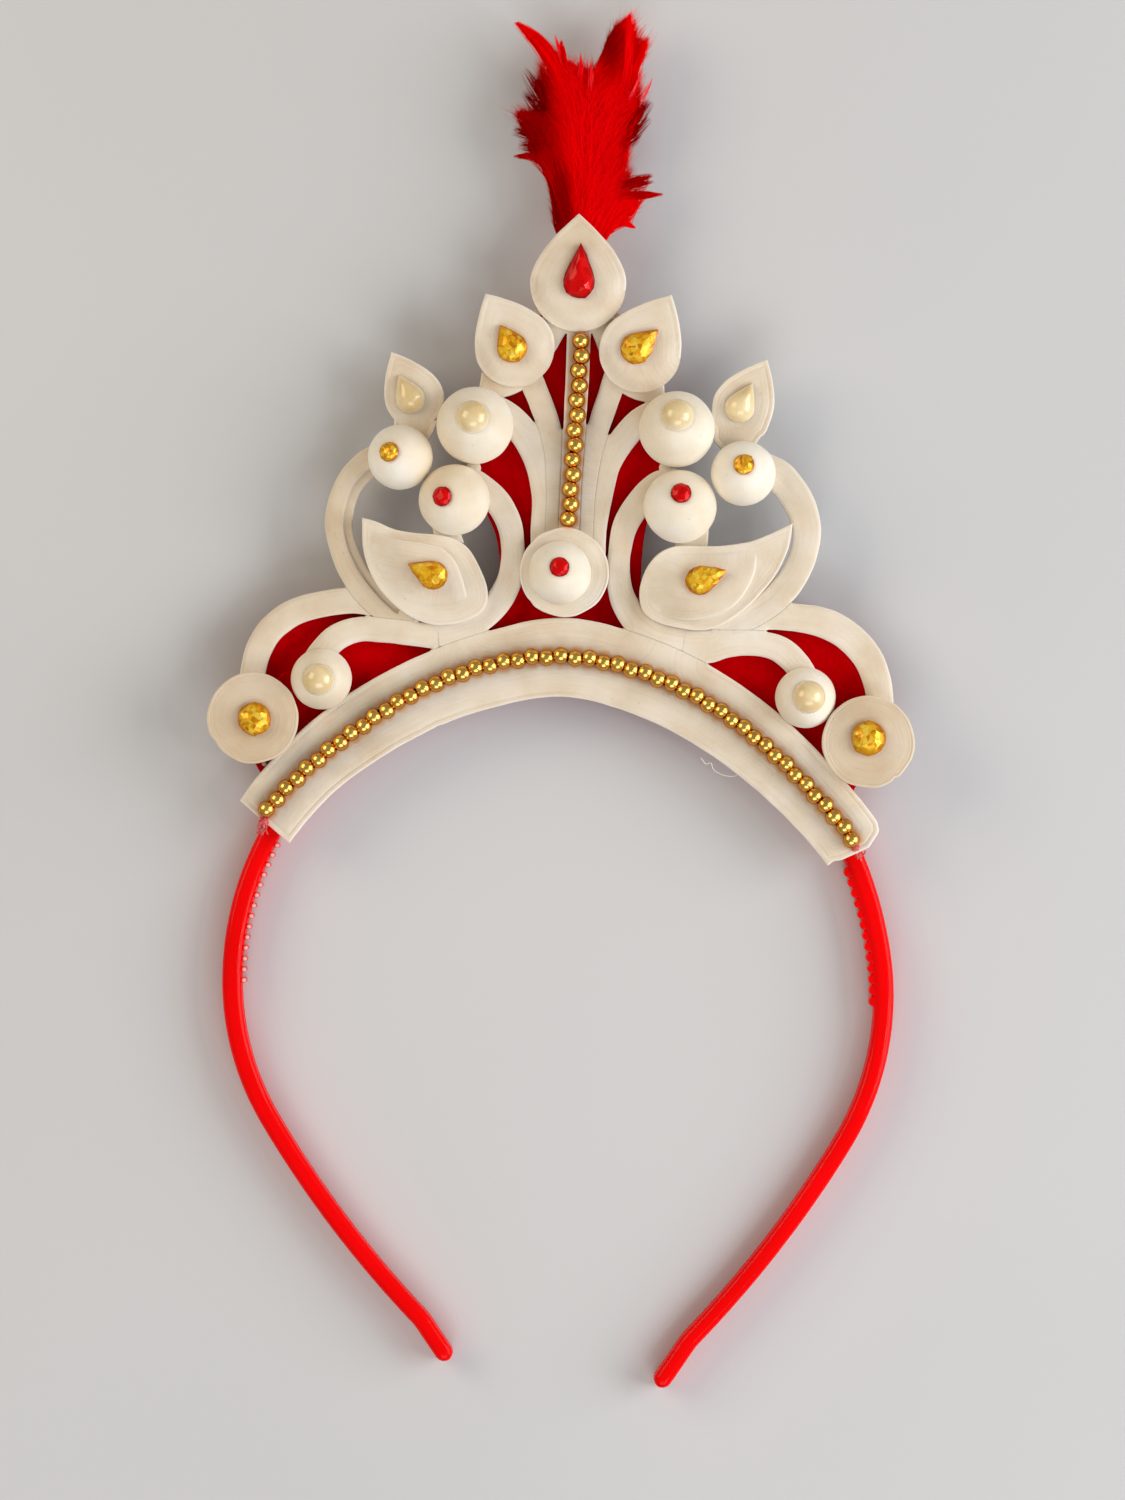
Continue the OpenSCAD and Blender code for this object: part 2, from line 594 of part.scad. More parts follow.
module mid_leaf(side) {
    color(pith) sheet(leaf_z, leaf_t) difference() {
        leaf_plan(MID_LEAF[side]);
        translate([TOP_LEAF[0], TOP_LEAF[1]]) circle(TOP_LEAF[2] + gap);
    }
}

module top_leaf() {
    color(pith) sheet(leaf_z, leaf_t) leaf_plan(TOP_LEAF);
}

module paisley_base(side) {
    color(pith) sheet(leaf_z, paisley_t) polygon(smooth_list(PAISLEY[side], 3));
}

module paisley_top(side) {
    color(pith) sheet(ridge_z, ridge_t) polygon(smooth_list(PAISLEY_RIDGE[side], 3));
}

// A drilled bead along +X, as long as the string's pitch leaves room for
module bead(pitch) {
    difference() {
        intersection() {
            sphere(bead_d / 2);
            cube([pitch - 1.5 * gap, bead_d, bead_d], center = true);
        }
        rotate([0, 90, 0]) cylinder(h = bead_d, d = bead_hole, center = true, $fn = 24);
    }
}

// Places of the arch string's beads: u, v, and the angle of the string
function arch_bead(i) =
    let (a = ARCH_BEADS[0] + (ARCH_BEADS[1] - ARCH_BEADS[0]) * i / (arch_bead_n - 1),
        d = arch_way(a + 0.5) - arch_way(a - 0.5))
    concat(arch_way(a), atan2(d[1], d[0]));
function arch_way(a) = arch_point(a, smooth(ARCH, arch_row(a))[2]);

// The row of ARCH that holds an angle
function arch_row(a) =
    let (i = [for (k = [0 : len(ARCH) - 2]) if (ARCH[k][0] <= a) k], k = max(i))
    k + (a - ARCH[k][0]) / (ARCH[k + 1][0] - ARCH[k][0]);

module arch_beads() {
    pitch = norm(plan(arch_bead(1)) - plan(arch_bead(0)));
    color(gold) on_crown() for (i = [0 : arch_bead_n - 1]) {
        b = arch_bead(i);
        translate([b[0], b[1], bead_z]) rotate([0, 0, b[2]]) bead(pitch);
    }
}

module post_beads() {
    way = POST_BEADS[1] - POST_BEADS[0];
    pitch = norm(way) / (post_bead_n - 1);
    color(gold) on_crown() for (i = [0 : post_bead_n - 1]) {
        b = POST_BEADS[0] + way * i / (post_bead_n - 1);
        translate([b[0], b[1], bead_z]) rotate([0, 0, atan2(way[1], way[0])]) bead(pitch);
    }
}

// A thread through the places of a string of beads
module thread(p) {
    ends = concat([p[0] + thread_end * unit(p[0] - p[1])], p,
        [p[len(p) - 1] + thread_end * unit(p[len(p) - 1] - p[len(p) - 2])]);
    color("khaki") sheet(bead_z - thread_t / 2, thread_t) polygon(strip_of(ends, thread_t));
}

// Outline of a thin strip of one width through a list of points
function strip_of(p, w) = let (q = [for (a = p) [a[0], a[1], w]])
    concat(edge(q, 0.5, 0), reversed(edge(q, -0.5, 0)));

module arch_thread() {
    thread([for (i = [0 : arch_bead_n - 1]) plan(arch_bead(i))]);
}

module post_thread() {
    thread(POST_BEADS);
}

// A tapered piece of the plume between two balls
module lock_part(a, ra, b, rb) {
    hull() {
        translate(a) sphere(ra, $fn = 8);
        translate(b) sphere(rb, $fn = 8);
    }
}

// The quill's place at a height y
function quill_at(y) =
    let (i = [for (k = [0 : len(QUILL) - 2]) if (QUILL[k][1] <= y) k], k = max(i),
        t = (y - QUILL[k][1]) / (QUILL[k + 1][1] - QUILL[k][1]))
    QUILL[k] + (QUILL[k + 1] - QUILL[k]) * t;

module feather() {
    color("crimson") translate([0, crown_y, 0]) {
        for (i = [0 : len(QUILL) - 2]) {
            lock_part(QUILL[i], quill_r, QUILL[i + 1], quill_r);
        }
        for (row = LOCKS) {
            root = quill_at(row[2]);
            tip = [row[0], row[1], row[3]];
            belly = (root + tip) / 2 - [0, lock_sag * abs(row[0] - root[0]), 0];
            lock_part(root, lock_r, belly, lock_r);
            lock_part(belly, lock_r, tip, lock_tip_r);
        }
    }
}

headband();
backing();
base_arch();
centre_post();
stem(LEFT);  // stem_left
stem(RIGHT);  // stem_right
branch(LEFT);  // branch_left
branch(RIGHT);  // branch_right
loop_inner(LEFT);  // loop_inner_left
loop_inner(RIGHT);  // loop_inner_right
loop_outer(LEFT);  // loop_outer_left
loop_outer(RIGHT);  // loop_outer_right
scroll_outer(LEFT);  // scroll_outer_left
scroll_outer(RIGHT);  // scroll_outer_right
scroll_inner(LEFT);  // scroll_inner_left
scroll_inner(RIGHT);  // scroll_inner_right
end_disc(LEFT);  // end_disc_left
end_disc(RIGHT);  // end_disc_right
pearl_dome(LEFT);  // pearl_dome_left
pearl_dome(RIGHT);  // pearl_dome_right
centre_disc();
centre_dome();
big_ball(LEFT);  // big_ball_left
big_ball(RIGHT);  // big_ball_right
red_ball(LEFT);  // red_ball_left
red_ball(RIGHT);  // red_ball_right
amber_ball(LEFT);  // amber_ball_left
amber_ball(RIGHT);  // amber_ball_right
side_leaf(LEFT);  // side_leaf_left
side_leaf(RIGHT);  // side_leaf_right
mid_leaf(LEFT);  // mid_leaf_left
mid_leaf(RIGHT);  // mid_leaf_right
top_leaf();
paisley_base(LEFT);  // paisley_base_left
paisley_base(RIGHT);  // paisley_base_right
paisley_top(LEFT);  // paisley_top_left
paisley_top(RIGHT);  // paisley_top_right
end_stone(LEFT);  // end_stone_left
end_stone(RIGHT);  // end_stone_right
dome_pearl(LEFT);  // dome_pearl_left
dome_pearl(RIGHT);  // dome_pearl_right
centre_stone();
ball_pearl(LEFT);  // ball_pearl_left
ball_pearl(RIGHT);  // ball_pearl_right
red_stone(LEFT);  // red_stone_left
red_stone(RIGHT);  // red_stone_right
amber_stone(LEFT);  // amber_stone_left
amber_stone(RIGHT);  // amber_stone_right
drop_pearl(LEFT);  // drop_pearl_left
drop_pearl(RIGHT);  // drop_pearl_right
mid_drop(LEFT);  // mid_drop_left
mid_drop(RIGHT);  // mid_drop_right
top_drop();
paisley_drop(LEFT);  // paisley_drop_left
paisley_drop(RIGHT);  // paisley_drop_right
arch_beads();
post_beads();
arch_thread();
post_thread();
feather();
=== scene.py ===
import math
from collections import namedtuple

import bpy
import numpy as np
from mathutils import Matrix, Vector, geometry, noise


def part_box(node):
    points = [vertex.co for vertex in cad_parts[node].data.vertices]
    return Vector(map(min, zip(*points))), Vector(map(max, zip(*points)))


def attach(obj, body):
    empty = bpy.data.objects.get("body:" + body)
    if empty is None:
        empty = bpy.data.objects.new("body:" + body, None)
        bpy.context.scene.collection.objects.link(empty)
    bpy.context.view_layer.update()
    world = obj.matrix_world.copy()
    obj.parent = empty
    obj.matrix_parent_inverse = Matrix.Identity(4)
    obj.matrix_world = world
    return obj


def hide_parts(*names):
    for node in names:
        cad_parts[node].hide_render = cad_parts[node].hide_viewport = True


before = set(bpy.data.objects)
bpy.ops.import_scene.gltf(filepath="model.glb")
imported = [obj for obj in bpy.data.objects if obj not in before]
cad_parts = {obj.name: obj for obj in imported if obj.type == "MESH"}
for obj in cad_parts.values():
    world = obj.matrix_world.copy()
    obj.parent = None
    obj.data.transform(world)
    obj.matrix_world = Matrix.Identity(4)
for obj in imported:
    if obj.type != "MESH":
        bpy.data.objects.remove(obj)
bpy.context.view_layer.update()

# Looks of the mukut: pith cut into sheets and balls, a moulded comb band, beads, stones and a plume.
# Shapes are worked out in millimetres in the CAD frame and handed to Blender in metres.
MM = 0.001
SEED = 11
SIDES = ("left", "right")
UP = np.array([0.0, 0.0, 1.0])

# The photograph: the height of the object that it takes in, and where its centre lies
VIEW_HEIGHT = 300.0
VIEW_CENTRE = (0.9, -15.4, 12.0)
CAMERA_DISTANCE = 1400.0
SENSOR = 36.0

# Spacing of points along a cut edge, and between the points inside a sheet
EDGE_STEP = 0.45
GRID_STEP = 1.0
# Distance between the grid's rows, as a share of its step
GRID_ROW = 0.866
# Room between a sheet's last ring of points and its grid, and how much nearer to an edge than its
# own distance a ring's point may lie
GRID_ROOM, RING_SLACK = 0.35, 0.02
# Rings of points along a sheet's rounded edge, as shares of its width, and beside each scored line
EDGE_RINGS = (0.04, 0.16, 0.36, 0.65, 1.0)
LINE_RINGS = (-0.2, 0, 0.2)
# Steps of a smooth curve from one of its points to the next
SPAN_STEPS = 6
# Points that are measured at a time
BLOCK = 1500
# A turn of more degrees than this is a corner, and the outline is smooth between corners
CORNER_TURN = 26.0
# Decimals of a millimetre to which corners are the same
WELD = 3
# Heights as near as this are one flat face
FLAT = 0.01
# Steps of a CAD outline that are shorter than this are left out
SHORTEST = 0.03

# How each kind of pith sheet is cut. edge: width and depth of its rounded edge. lines: distance
# from the edge and depth of each scored line. crown: how far its middle stands up. wobble: how far
# the knife strays. waves: height of the slow unevenness of its face. soft: the direction in which
# its face slopes gently down to its edge, and the width and depth of that slope. sink: how far its
# back reaches into the sheet below, so that the slope can run out without a step
Cut = namedtuple("Cut", "edge lines crown wobble waves soft sink", defaults=(None, 0))
STYLES = {
    "arch": Cut((0.45, 0.35), ((1.05, 0.12),), 0.1, 0.07, 0.16),
    "strip": Cut((0.95, 0.6), (), 0.18, 0.09, 0.2),
    "post": Cut((0.6, 0.4), (), 0.1, 0.06, 0.1),
    "leaf": Cut((0.5, 0.35), ((1.1, 0.06),), 0.0, 0.08, 0.16, (268, 3.2, 1.5)),
    "cup": Cut((0.35, 0.25), ((1.0, 0.1),), -0.2, 0.08, 0.1),
    "disc": Cut((0.35, 0.3), ((0.7, 0.1), (1.2, 0.07)), 0.0, 0.18, 0.16),
    "base": Cut((0.45, 0.35), ((0.9, 0.08), (1.5, 0.05)), -0.1, 0.07, 0.12),
    "ridge_left": Cut((0.5, 0.4), (), 0.15, 0.06, 0.15, (218, 7.0, 2.1), 0.6),
    "ridge_right": Cut((0.6, 0.5), (), 0.15, 0.06, 0.15, (145, 7.0, 2.1), 0.6),
    "paper": Cut((0.12, 0.12), (), 0.0, 0.05, 0.05),
}
SHEETS = {
    "base_arch": "arch", "centre_post": "post", "centre_disc": "disc", "top_leaf": "leaf",
    "stem": "strip", "branch": "strip", "loop_inner": "strip", "scroll_inner": "strip",
    "scroll_outer": "strip", "end_disc": "disc", "side_leaf": "cup", "mid_leaf": "leaf",
    "paisley_base": "base", "paisley_top": "ridge", "loop_outer": "strip",
}
# Half width of a scored line, and how far from its edge a sheet's middle has its full crown
LINE_HALF = 0.14
CROWN_REACH = 2.5
# How often the facing of a sheet's edge is smoothed, and from which value on it is on the soft side
SOFT_ROUNDS = 12
SOFT_FACING = 0.12
# Slow waves of the knife, of a cut side and of a face: their size and their place in the noise
KNIFE_WAVE, WALL_WAVE, FACE_WAVE = (3.2, 1.5), (2.5, 9.0), (7.0, 5.0)
# Sheets of the lowest layer, which lie edge to edge and are level where they meet
LEVEL = ("arch", "strip", "post")
# Width and depth of the seam between two of them
SEAM = (0.2, 0.09)
# A sheet's cut side: share of its height and how far it is undercut, from its face to its back
WALL_RINGS = ((0.35, 0.0), (0.7, 0.0), (0.95, 0.03), (1.0, 0.18))
# A strip in two layers: depth of the ledge, thickness of the upper one, and the edge of each
LEDGE_DEPTH = 1.1
UPPER_THICKNESS = 1.9
LEDGE_EDGES = ((0.5, 0.4), (0.8, 0.5))
# The upper one's points go to the lower one's that meet a sheet, where these are as near as this
LEDGE_REACH = 0.6
# Sheets as near as this are drawn together, and the ends of a strip in two lengths from further off
TOUCHING = 0.45
JOINT_REACH = 1.4
JOINTS = ({"loop_inner_left", "scroll_inner_left"}, {"loop_inner_right", "scroll_inner_right"})
# Half the gap that is left between two sheets
CLEARANCE = 0.012
# Points meet a sheet that lies in front of them, at this share of the gap, or nearer than this
JOINT_FACING = 0.45
JOINT_GAP = 0.12
# Nicks in cut edges: x, y, depth, half width
NICKS = {
    "centre_disc": ((-6.0, 13.8, 0.7, 0.5), (-4.9, 12.9, -0.3, 0.4)),
    "end_disc_right": ((67.2, -21.0, 0.55, 0.4), (67.9, -20.2, -0.2, 0.4)),
    "end_disc_left": ((-68.8, -14.0, 0.25, 0.9),),
    "base_arch": ((55.3, -38.1, 0.4, 0.9), (64.8, -30.8, 0.6, 0.9), (-23.8, -11.0, 0.25, 0.5)),
    "side_leaf_right": ((32.3, 49.8, -1.5, 2.2), (33.0, 47.0, -1.4, 1.8), (40.3, 48.3, -0.9, 1.8)),
    "side_leaf_left": ((-26.8, 47.9, 0.3, 0.2), (-26.1, 48.4, 0.35, 0.2), (-25.5, 48.8, 0.3, 0.2),
                       (-24.8, 49.3, 0.35, 0.2), (-24.1, 49.8, 0.25, 0.2)),
}
# Strips that reach further under a disc than their corners: y of the end, how far it moves down
LENGTHENED = {"branch_right": (25.8, 2.3)}
# Corners that the knife cut further out than the pattern: x, y, how far it moves, reach along the edge
PULLS = {"base_arch": ((-53.2, -32.9, -0.6, -1.1, 12.7), (-64.1, -26.4, 0.5, 0.8, 12.7))}
# Dabs of paste where three sheets meet, and a crumb: x, y, height of the top, radius
DABS = ((-28.6, 10.7, 11.6, 0.9), (-23.5, 5.5, 11.6, 0.9), (38.9, 8.8, 11.6, 0.9), (-4.2, 72.0, 10.5, 0.9),
        (11.5, 71.5, 10.5, 0.9), (-58.9, -18.2, 9.0, 0.45), (-16.9, 41.0, 11.7, 1.5),
        (21.3, 41.1, 11.7, 1.1))
# A dab from its foot to its top: share of its radius, height from its top
DAB_SHAPE = ((1.0, -1.2), (1.0, -0.35), (0.8, -0.1), (0.35, 0.0))

# How far each piece of pith is darkened towards brown, from 0 to 1: painted shade on the left-hand pieces,
# which face away from the key light, and a darker tone on both end discs and the top leaf
SHADE_TINTS = {"end_disc_left": 0.6, "end_disc_right": 0.45, "loop_outer_left": 0.4, "scroll_outer_left": 0.2,
         "stem_left": 0.2, "top_leaf": 0.1}

# Height of a ball's centre over its seat as a share of its radius, and each ball's stone
BALL_LIFT = 0.3
BALLS = {
    "pearl_dome": (0.0, "dome_pearl"), "big_ball": (BALL_LIFT, "ball_pearl"),
    "red_ball": (BALL_LIFT, "red_stone"), "amber_ball": (BALL_LIFT, "amber_stone"),
}
RED_STONES = ("red_stone_left", "red_stone_right", "centre_stone", "top_drop")
# A ball's pith: rim distance for its fibres, height of its unevenness, and the size and share of each
# of its waves
BALL_RIM = 8.0
BALL_UNEVEN = 0.07
BALL_WAVES = ((3.4, 1.0), (1.1, 0.4))
# Seat of a ball's stone: its depth, and how much wider than the stone it is
STONE_SUNK = 0.12
SEAT_ROOM = 0.1
# Power of a pearl's height that flattens its top
PEARL_FULLNESS = 0.94
BALL_ROWS = 34
# Corners round a ball, a half pearl, a drop pearl, a bead, and a tooth or dab
BALL_STEPS, PEARL_STEPS, DROP_STEPS, BEAD_STEPS, TOOTH_STEPS = 56, 48, 72, 24, 14
# A stone's seat is the lowest share of its height, and its direction is found in so many rounds
SEAT_SHARE = 0.25
SEAT_ROUNDS = 9

# Headband, as in the CAD: mean radius of its half round, thickness, width, and for each side the
# bends from its top to its tip: radius as a share of band_r, degrees of turn
BAND_R = 65.4
BAND_T = 4.0
BAND_TIP_T = 3.6
BAND_H = 7.0
BAND_BENDS = (
    ((1.01, 60), (0.945, 29), (0.835, 31.5), (3.35, 13), (-0.18, -10), (6, 1)),
    ((0.99, 70), (1.23, 12), (0.87, 39.5), (3.45, 12.5), (-0.18, -10), (6, 1.2)),
)
BAND_TAPER = 70.0
BAND_CORNER = 1.35
# Longest step along the band and largest turn in one
BAND_STEP, BAND_TURN = 1.6, 4
# Sections of the band's rounded tips: degrees round from its full section
TIP_ANGLES = (25, 50, 70, 82)
# Their height as a share of the band's: the least, and what their size adds
TIP_HEIGHT = (0.72, 0.28)
# The mould's seam: its height and half width
SEAM_RISE = 0.1
SEAM_HALF = 0.18
# Comb teeth on the left and right side. start, pitch: way along the band from its top to the first
# tooth, and from one to the next. radius, reach: how thick they are and how far they stand out of the
# band. corner, top: rounding of their ends and height of their tops. pale: how strongly a painted pale
# highlight covers the rings of a tooth's top, from its flank to its tip
Teeth = namedtuple("Teeth", "start pitch count radius reach corner top pale")
TEETH = (
    Teeth(71.95, 2.25, 14, 0.54, 0.95, 0.5, 6.55, (0.0, 0.15, 0.6, 1.0, 1.0)),
    Teeth(77.6, 2.28, 13, 1.12, 1.05, 0.3, 6.3, (0.0,) * 5),
)
TOOTH_FOOT = 0.5

# How far the corners of a stone's facets stray, as a share of their distance from its middle
STONE_STRAY = 0.045
# Main facets round a round stone and a drop
STONE_FACETS, DROP_FACETS = 8, 10
# Rings of a cut stone from its back to its table: size, share of its height, mark for the painted shade at
# its rim
GEM_RINGS = ((0.88, -0.35, 0.0), (1.0, 0.22, 0.0), (0.985, 0.36, 0.1), (0.83, 0.66, 0.5),
             (0.6, 0.88, 0.85), (0.36, 1.0, 1.0))
# Control point of a drop's flanks as a share of its reach
DROP_FULLNESS = 0.25
DROP_STEP = 0.02
# Points on a drop's flank and on its round end
FLANK_POINTS, ROUND_POINTS = 40, 60
# Angles of a pearl's rings above its base
PEARL_RINGS = np.linspace(0, math.pi / 2, 15)[:-1]

BEAD_R = 1.72
# How far every other bead lies to the side of its string
BEAD_ZIGZAG = 0.2
# How far the beads lean, differ in size and lie higher or lower
BEAD_LEAN, BEAD_SIZES, BEAD_RISE = 0.05, 0.012, 0.04
# Warm light on the pith: how far from the string's middle it starts, and how far it reaches
GLOW_START, GLOW_REACH = 1.5, 0.6
THREAD_R = 0.2
# How far it reaches past its last bead, as a share of the way from bead to bead
THREAD_END = 0.75
THREAD_STEP, TAIL_STEP, STRAY_STEP = 0.35, 0.2, 0.3
BORE_R = 0.45
# A bead's end: width of its rim, how far rim and mouth of the bore stand out, and the mouth's width
BEAD_RIM, BEAD_BULGE, BEAD_MOUTH = 0.12, (0.02, 0.01), 0.14
# Room between one bead and the next
BEAD_ROOM = 0.1
# Loose thread ends: x, y, z along the middle of each bundle from its last bead, the number of
# strands, and how far they spread and their radius at the bead and at their ends
THREAD_TAILS = {
    "thread_tail_left": ((-58.5, -29.0, 13.4), (-58.9, -30.0, 12.9), (-59.3, -31.0, 10.4),
                         (-59.7, -32.6, 7.5)),
    "thread_tail_right": ((59.0, -33.9, 13.4), (59.4, -34.6, 12.9), (59.8, -35.5, 10.4),
                          (60.3, -37.0, 7.5)),
}
TAIL_STRANDS = 15
TAIL_SPREAD = (0.35, 0.75)
TAIL_R = (0.25, 0.15)
# Shares of that spread in x, y and z, and of its length that a strand keeps
TAIL_STRAY, TAIL_LENGTH = (1, 0.6, 0.4), (0.75, 1)
# A stray barb and a stray fibre: their radius from end to end, and x, y, z of points along each
STRAY_R = (0.1, 0.05)
STRAYS = {
    "stray_barb": ((-56.0, -1.5, 12.3), (-55.4, -0.6, 12.2), (-54.6, 0.0, 11.6), (-53.6, -0.1, 11.0),
                   (-52.8, -0.8, 10.6)),
    "stray_fibre": ((28.6, -17.0, 11.2), (29.6, -18.2, 11.4), (30.6, -18.0, 11.6),
                    (31.2, -19.4, 11.3), (33.0, -20.4, 11.0), (35.0, -20.7, 11.0), (36.2, -20.2, 10.8)),
}

# The plume's tables lie this far below its place
PLUME_Y = 4.6
# Edge of its dense part, from its foot round to its foot: x, y
PLUME_EDGE = (
    (-0.5, 83.8), (-0.9, 85.4), (-1.3, 89.8), (-1.7, 92.4), (-2.4, 94.9), (-2.2, 96.8), (-2.9, 97.3),
    (-5.3, 97.8), (-8.0, 98.6), (-6.1, 100.2), (-5.2, 101.9), (-6.7, 103.6), (-7.6, 105.2), (-8.3, 107.0),
    (-7.5, 108.2), (-5.9, 108.6), (-3.6, 109.3), (-3.9, 113.0), (-3.8, 117.0), (-2.6, 118.8), (-0.8, 119.8),
    (0.8, 119.2), (1.8, 117.9), (3.6, 117.3), (6.4, 116.8), (8.2, 117.0), (9.0, 120.0), (10.2, 123.4),
    (11.8, 125.4), (14.4, 127.3), (15.3, 126.0), (15.9, 123.9), (17.3, 122.8), (17.9, 121.4), (17.6, 119.5),
    (16.6, 117.6), (15.9, 116.0), (16.4, 113.4), (17.0, 110.0), (16.9, 107.0), (15.1, 104.9), (14.4, 102.6),
    (14.0, 98.1), (14.4, 94.9), (14.2, 92.8), (17.0, 92.1), (17.2, 90.5), (16.0, 88.6), (15.2, 87.0),
    (15.2, 84.9), (13.8, 85.2), (11.9, 85.0), (10.6, 83.8), (9.5, 82.5), (7.0, 76.0), (2.0, 76.0),
)
# Wisps. Columns: x and y of the root and of the tip, height of the tip, bow to the right, spread at
# the middle and at the tip, number of barbs, brightness, which is painted shade below 1 and a painted
# pink highlight above 1
WISPS = (
    (1.6, 112.0, -8.6, 125.8, 10.5, 2.9, 1.25, 0.55, 520, 0.9),
    (1.2, 114.5, -0.7, 123.2, 12.0, 0.4, 0.4, 0.2, 40, 1.12),
    (1.6, 115.0, 0.6, 122.2, 11.5, -0.3, 0.6, 0.3, 80, 0.85),
    (4.7, 112.0, 4.4, 119.8, 12.5, 0.0, 0.4, 0.2, 26, 1.08),
    (6.5, 108.5, 6.6, 117.8, 13.4, 0.1, 0.45, 0.2, 26, 1.1),
    (12.6, 111.0, 14.4, 127.6, 12.8, 0.5, 0.8, 0.3, 200, 1.0),
    (13.6, 112.0, 18.1, 122.8, 11.0, -0.8, 1.0, 0.45, 240, 0.9),
    (14.0, 109.6, 17.1, 116.4, 13.2, 0.3, 0.3, 0.15, 12, 1.16),
    (16.2, 108.6, 18.9, 114.7, 12.6, 0.4, 0.32, 0.15, 13, 1.18),
    (13.4, 103.6, 18.7, 110.4, 9.0, -0.4, 1.5, 0.9, 46, 0.5),
    (13.2, 101.4, 18.5, 106.8, 8.5, -0.4, 1.4, 0.8, 40, 0.5),
    (12.8, 100.4, 16.8, 103.3, 8.5, -0.2, 1.2, 0.6, 30, 0.5),
    (12.4, 93.2, 19.2, 95.2, 9.5, 0.3, 0.9, 0.45, 70, 0.6),
    (12.6, 92.4, 19.3, 94.0, 9.0, 0.2, 0.7, 0.35, 40, 0.6),
    (12.6, 90.8, 21.1, 91.3, 10.5, 0.1, 0.7, 0.2, 110, 0.7),
    (10.5, 87.0, 15.6, 84.6, 9.0, 0.3, 0.6, 0.25, 130, 0.9),
    (0.8, 103.6, -9.0, 107.4, 9.5, 1.6, 1.2, 0.55, 200, 0.62),
    (1.0, 98.6, -9.0, 98.9, 9.5, 0.4, 0.7, 0.3, 200, 0.66),
    (0.2, 101.6, -9.2, 104.4, 8.0, 0.5, 1.4, 0.9, 120, 0.5),
    (0.4, 99.6, -8.2, 101.4, 8.4, 0.4, 1.3, 1.0, 90, 0.52),
    (-1.8, 108.0, -6.9, 116.6, 9.0, 0.5, 1.5, 0.9, 34, 0.45),
    (-2.2, 109.0, -5.6, 115.0, 9.5, 0.3, 1.4, 0.9, 40, 0.45),
    (-2.4, 107.0, -7.1, 112.4, 8.5, 0.3, 1.4, 0.9, 34, 0.42),
)
# Places where the plume is dark. Columns: x, y, half width, half height, share of the light lost
SHADES = (
    (-5.2, 103.4, 5.4, 7.2, 0.40), (0.0, 90.0, 3.2, 8.6, 0.40), (-3.4, 113.6, 2.7, 5.6, 0.28),
    (10.7, 120.6, 2.8, 6.8, 0.40), (17.6, 107.0, 1.7, 5.2, 0.34), (16.6, 96.2, 2.4, 3.2, 0.34),
)
PLUME_BARBS = 15000
# How often a barb that leaves the edge is drawn anew before it is left out
PLUME_TRIES = 8
# Fine barbs that blur the edge: how many, how long, how far they stand out and how thin they are
EDGE_BARBS = 3200
EDGE_LENGTH = (3.0, 7.0)
EDGE_REACH = 1.0
EDGE_SHARE = 0.5
# How much their directions and middles stray, and their heights, and how bright they are
EDGE_STRAY, EDGE_DEPTH, EDGE_LIGHT = 0.25, 1.2, (0.8, 1.0)
# They grow from the edge above this height, in the direction from a place on the quill this far
# below their feet
EDGE_FOOT = 84
EDGE_RISE = 14
PLUME_PARTS = 3
# Height of the tuft's middle, and how far its face stands over that where it is thick
PLUME_Z = 9.4
PLUME_RISE = 4.0
QUILL = ((3.8, 74, 9.5), (4.6, 86, 9.3), (6, 100, 9.3), (6.6, 111, 9.2))
# Its radius at its foot and at its tip
QUILL_R = (0.9, 0.25)
# Lowest and highest root of a barb on the quill, how far a root lies below its tip, and how much
# further for each millimetre that the tip lies aside, and how far roots stray in x and z
BARB_ROOTS = (74, 111)
ROOT_BELOW, ROOT_ASIDE = (0.5, 15), (0, 1.3)
ROOT_STRAY = (1.1, 0.8)
# Where a barb bends: shares of its way in x, y and z
BEND_X, BEND_Y, BEND_Z = (0.1, 0.6), (0.45, 0.95), 0.85
# Tips: how far in from the edge the tuft is thick, share of them that lie on its face, and their
# height as a share of its own: mean and spread on the face, least and most below it
THICK_FROM = 5
FACE_SHARE = 0.7
FACE_LEVEL, INNER_LEVEL = (0.9, 0.08), (-1, 0.8)
# How bright the barbs of the dense part are, and those of a wisp as a share of its brightness
DENSE_LIGHT, WISP_LIGHT = (0.92, 1.05), (0.93, 1.05)
# A wisp's barbs: where on its way they start, the square of where they end, how far they spread and
# stray, how thick they are, and how far its root lies over the tuft's middle
WISP_STARTS, WISP_STOPS = (0, 0.5), (0.55, 1.0)
WISP_SPREAD, WISP_STRAY, WISP_SHARE, WISP_LIFT = 0.5, 0.06, 0.75, 1.5
BARB_R = 0.1
BARB_TAPER = (0.7, 1.0, 0.85, 0.55, 0.15)
# Section of a barb, flat and a little ridged: shares of its radius to the side and down
BARB_SECTION = ((1.0, 0.1), (-1.0, 0.1), (0.0, -0.28))

# Colours of each material, from its darkest tone to its palest. The last tone of pith is its painted
# highlight along the cut rim
BLACK, WHITE = (0.0, 0.0, 0.0), (1.0, 1.0, 1.0)
PITHS = (
    ("shola_sheet", ((0.71, 0.59, 0.44), (0.80, 0.71, 0.58), (0.86, 0.79, 0.70), (0.94, 0.90, 0.84))),
    # The balls' pith is a paler copy of the sheets': painted light, for balls that stand brighter in the
    # light
    ("shola_ball_painted_light", ((0.83, 0.72, 0.55), (0.91, 0.84, 0.71), (0.97, 0.94, 0.87), (0.97, 0.94, 0.87))),
)
# Brown of the painted shade on the darker pieces of pith
PITH_SHADE_BROWN = (0.74, 0.62, 0.46)
PITH_GLOW = (0.92, 0.46, 0.13)
FIBRE_TONE = (0.86, 0.79, 0.70)
SPECK_TONE = (0.62, 0.50, 0.38)
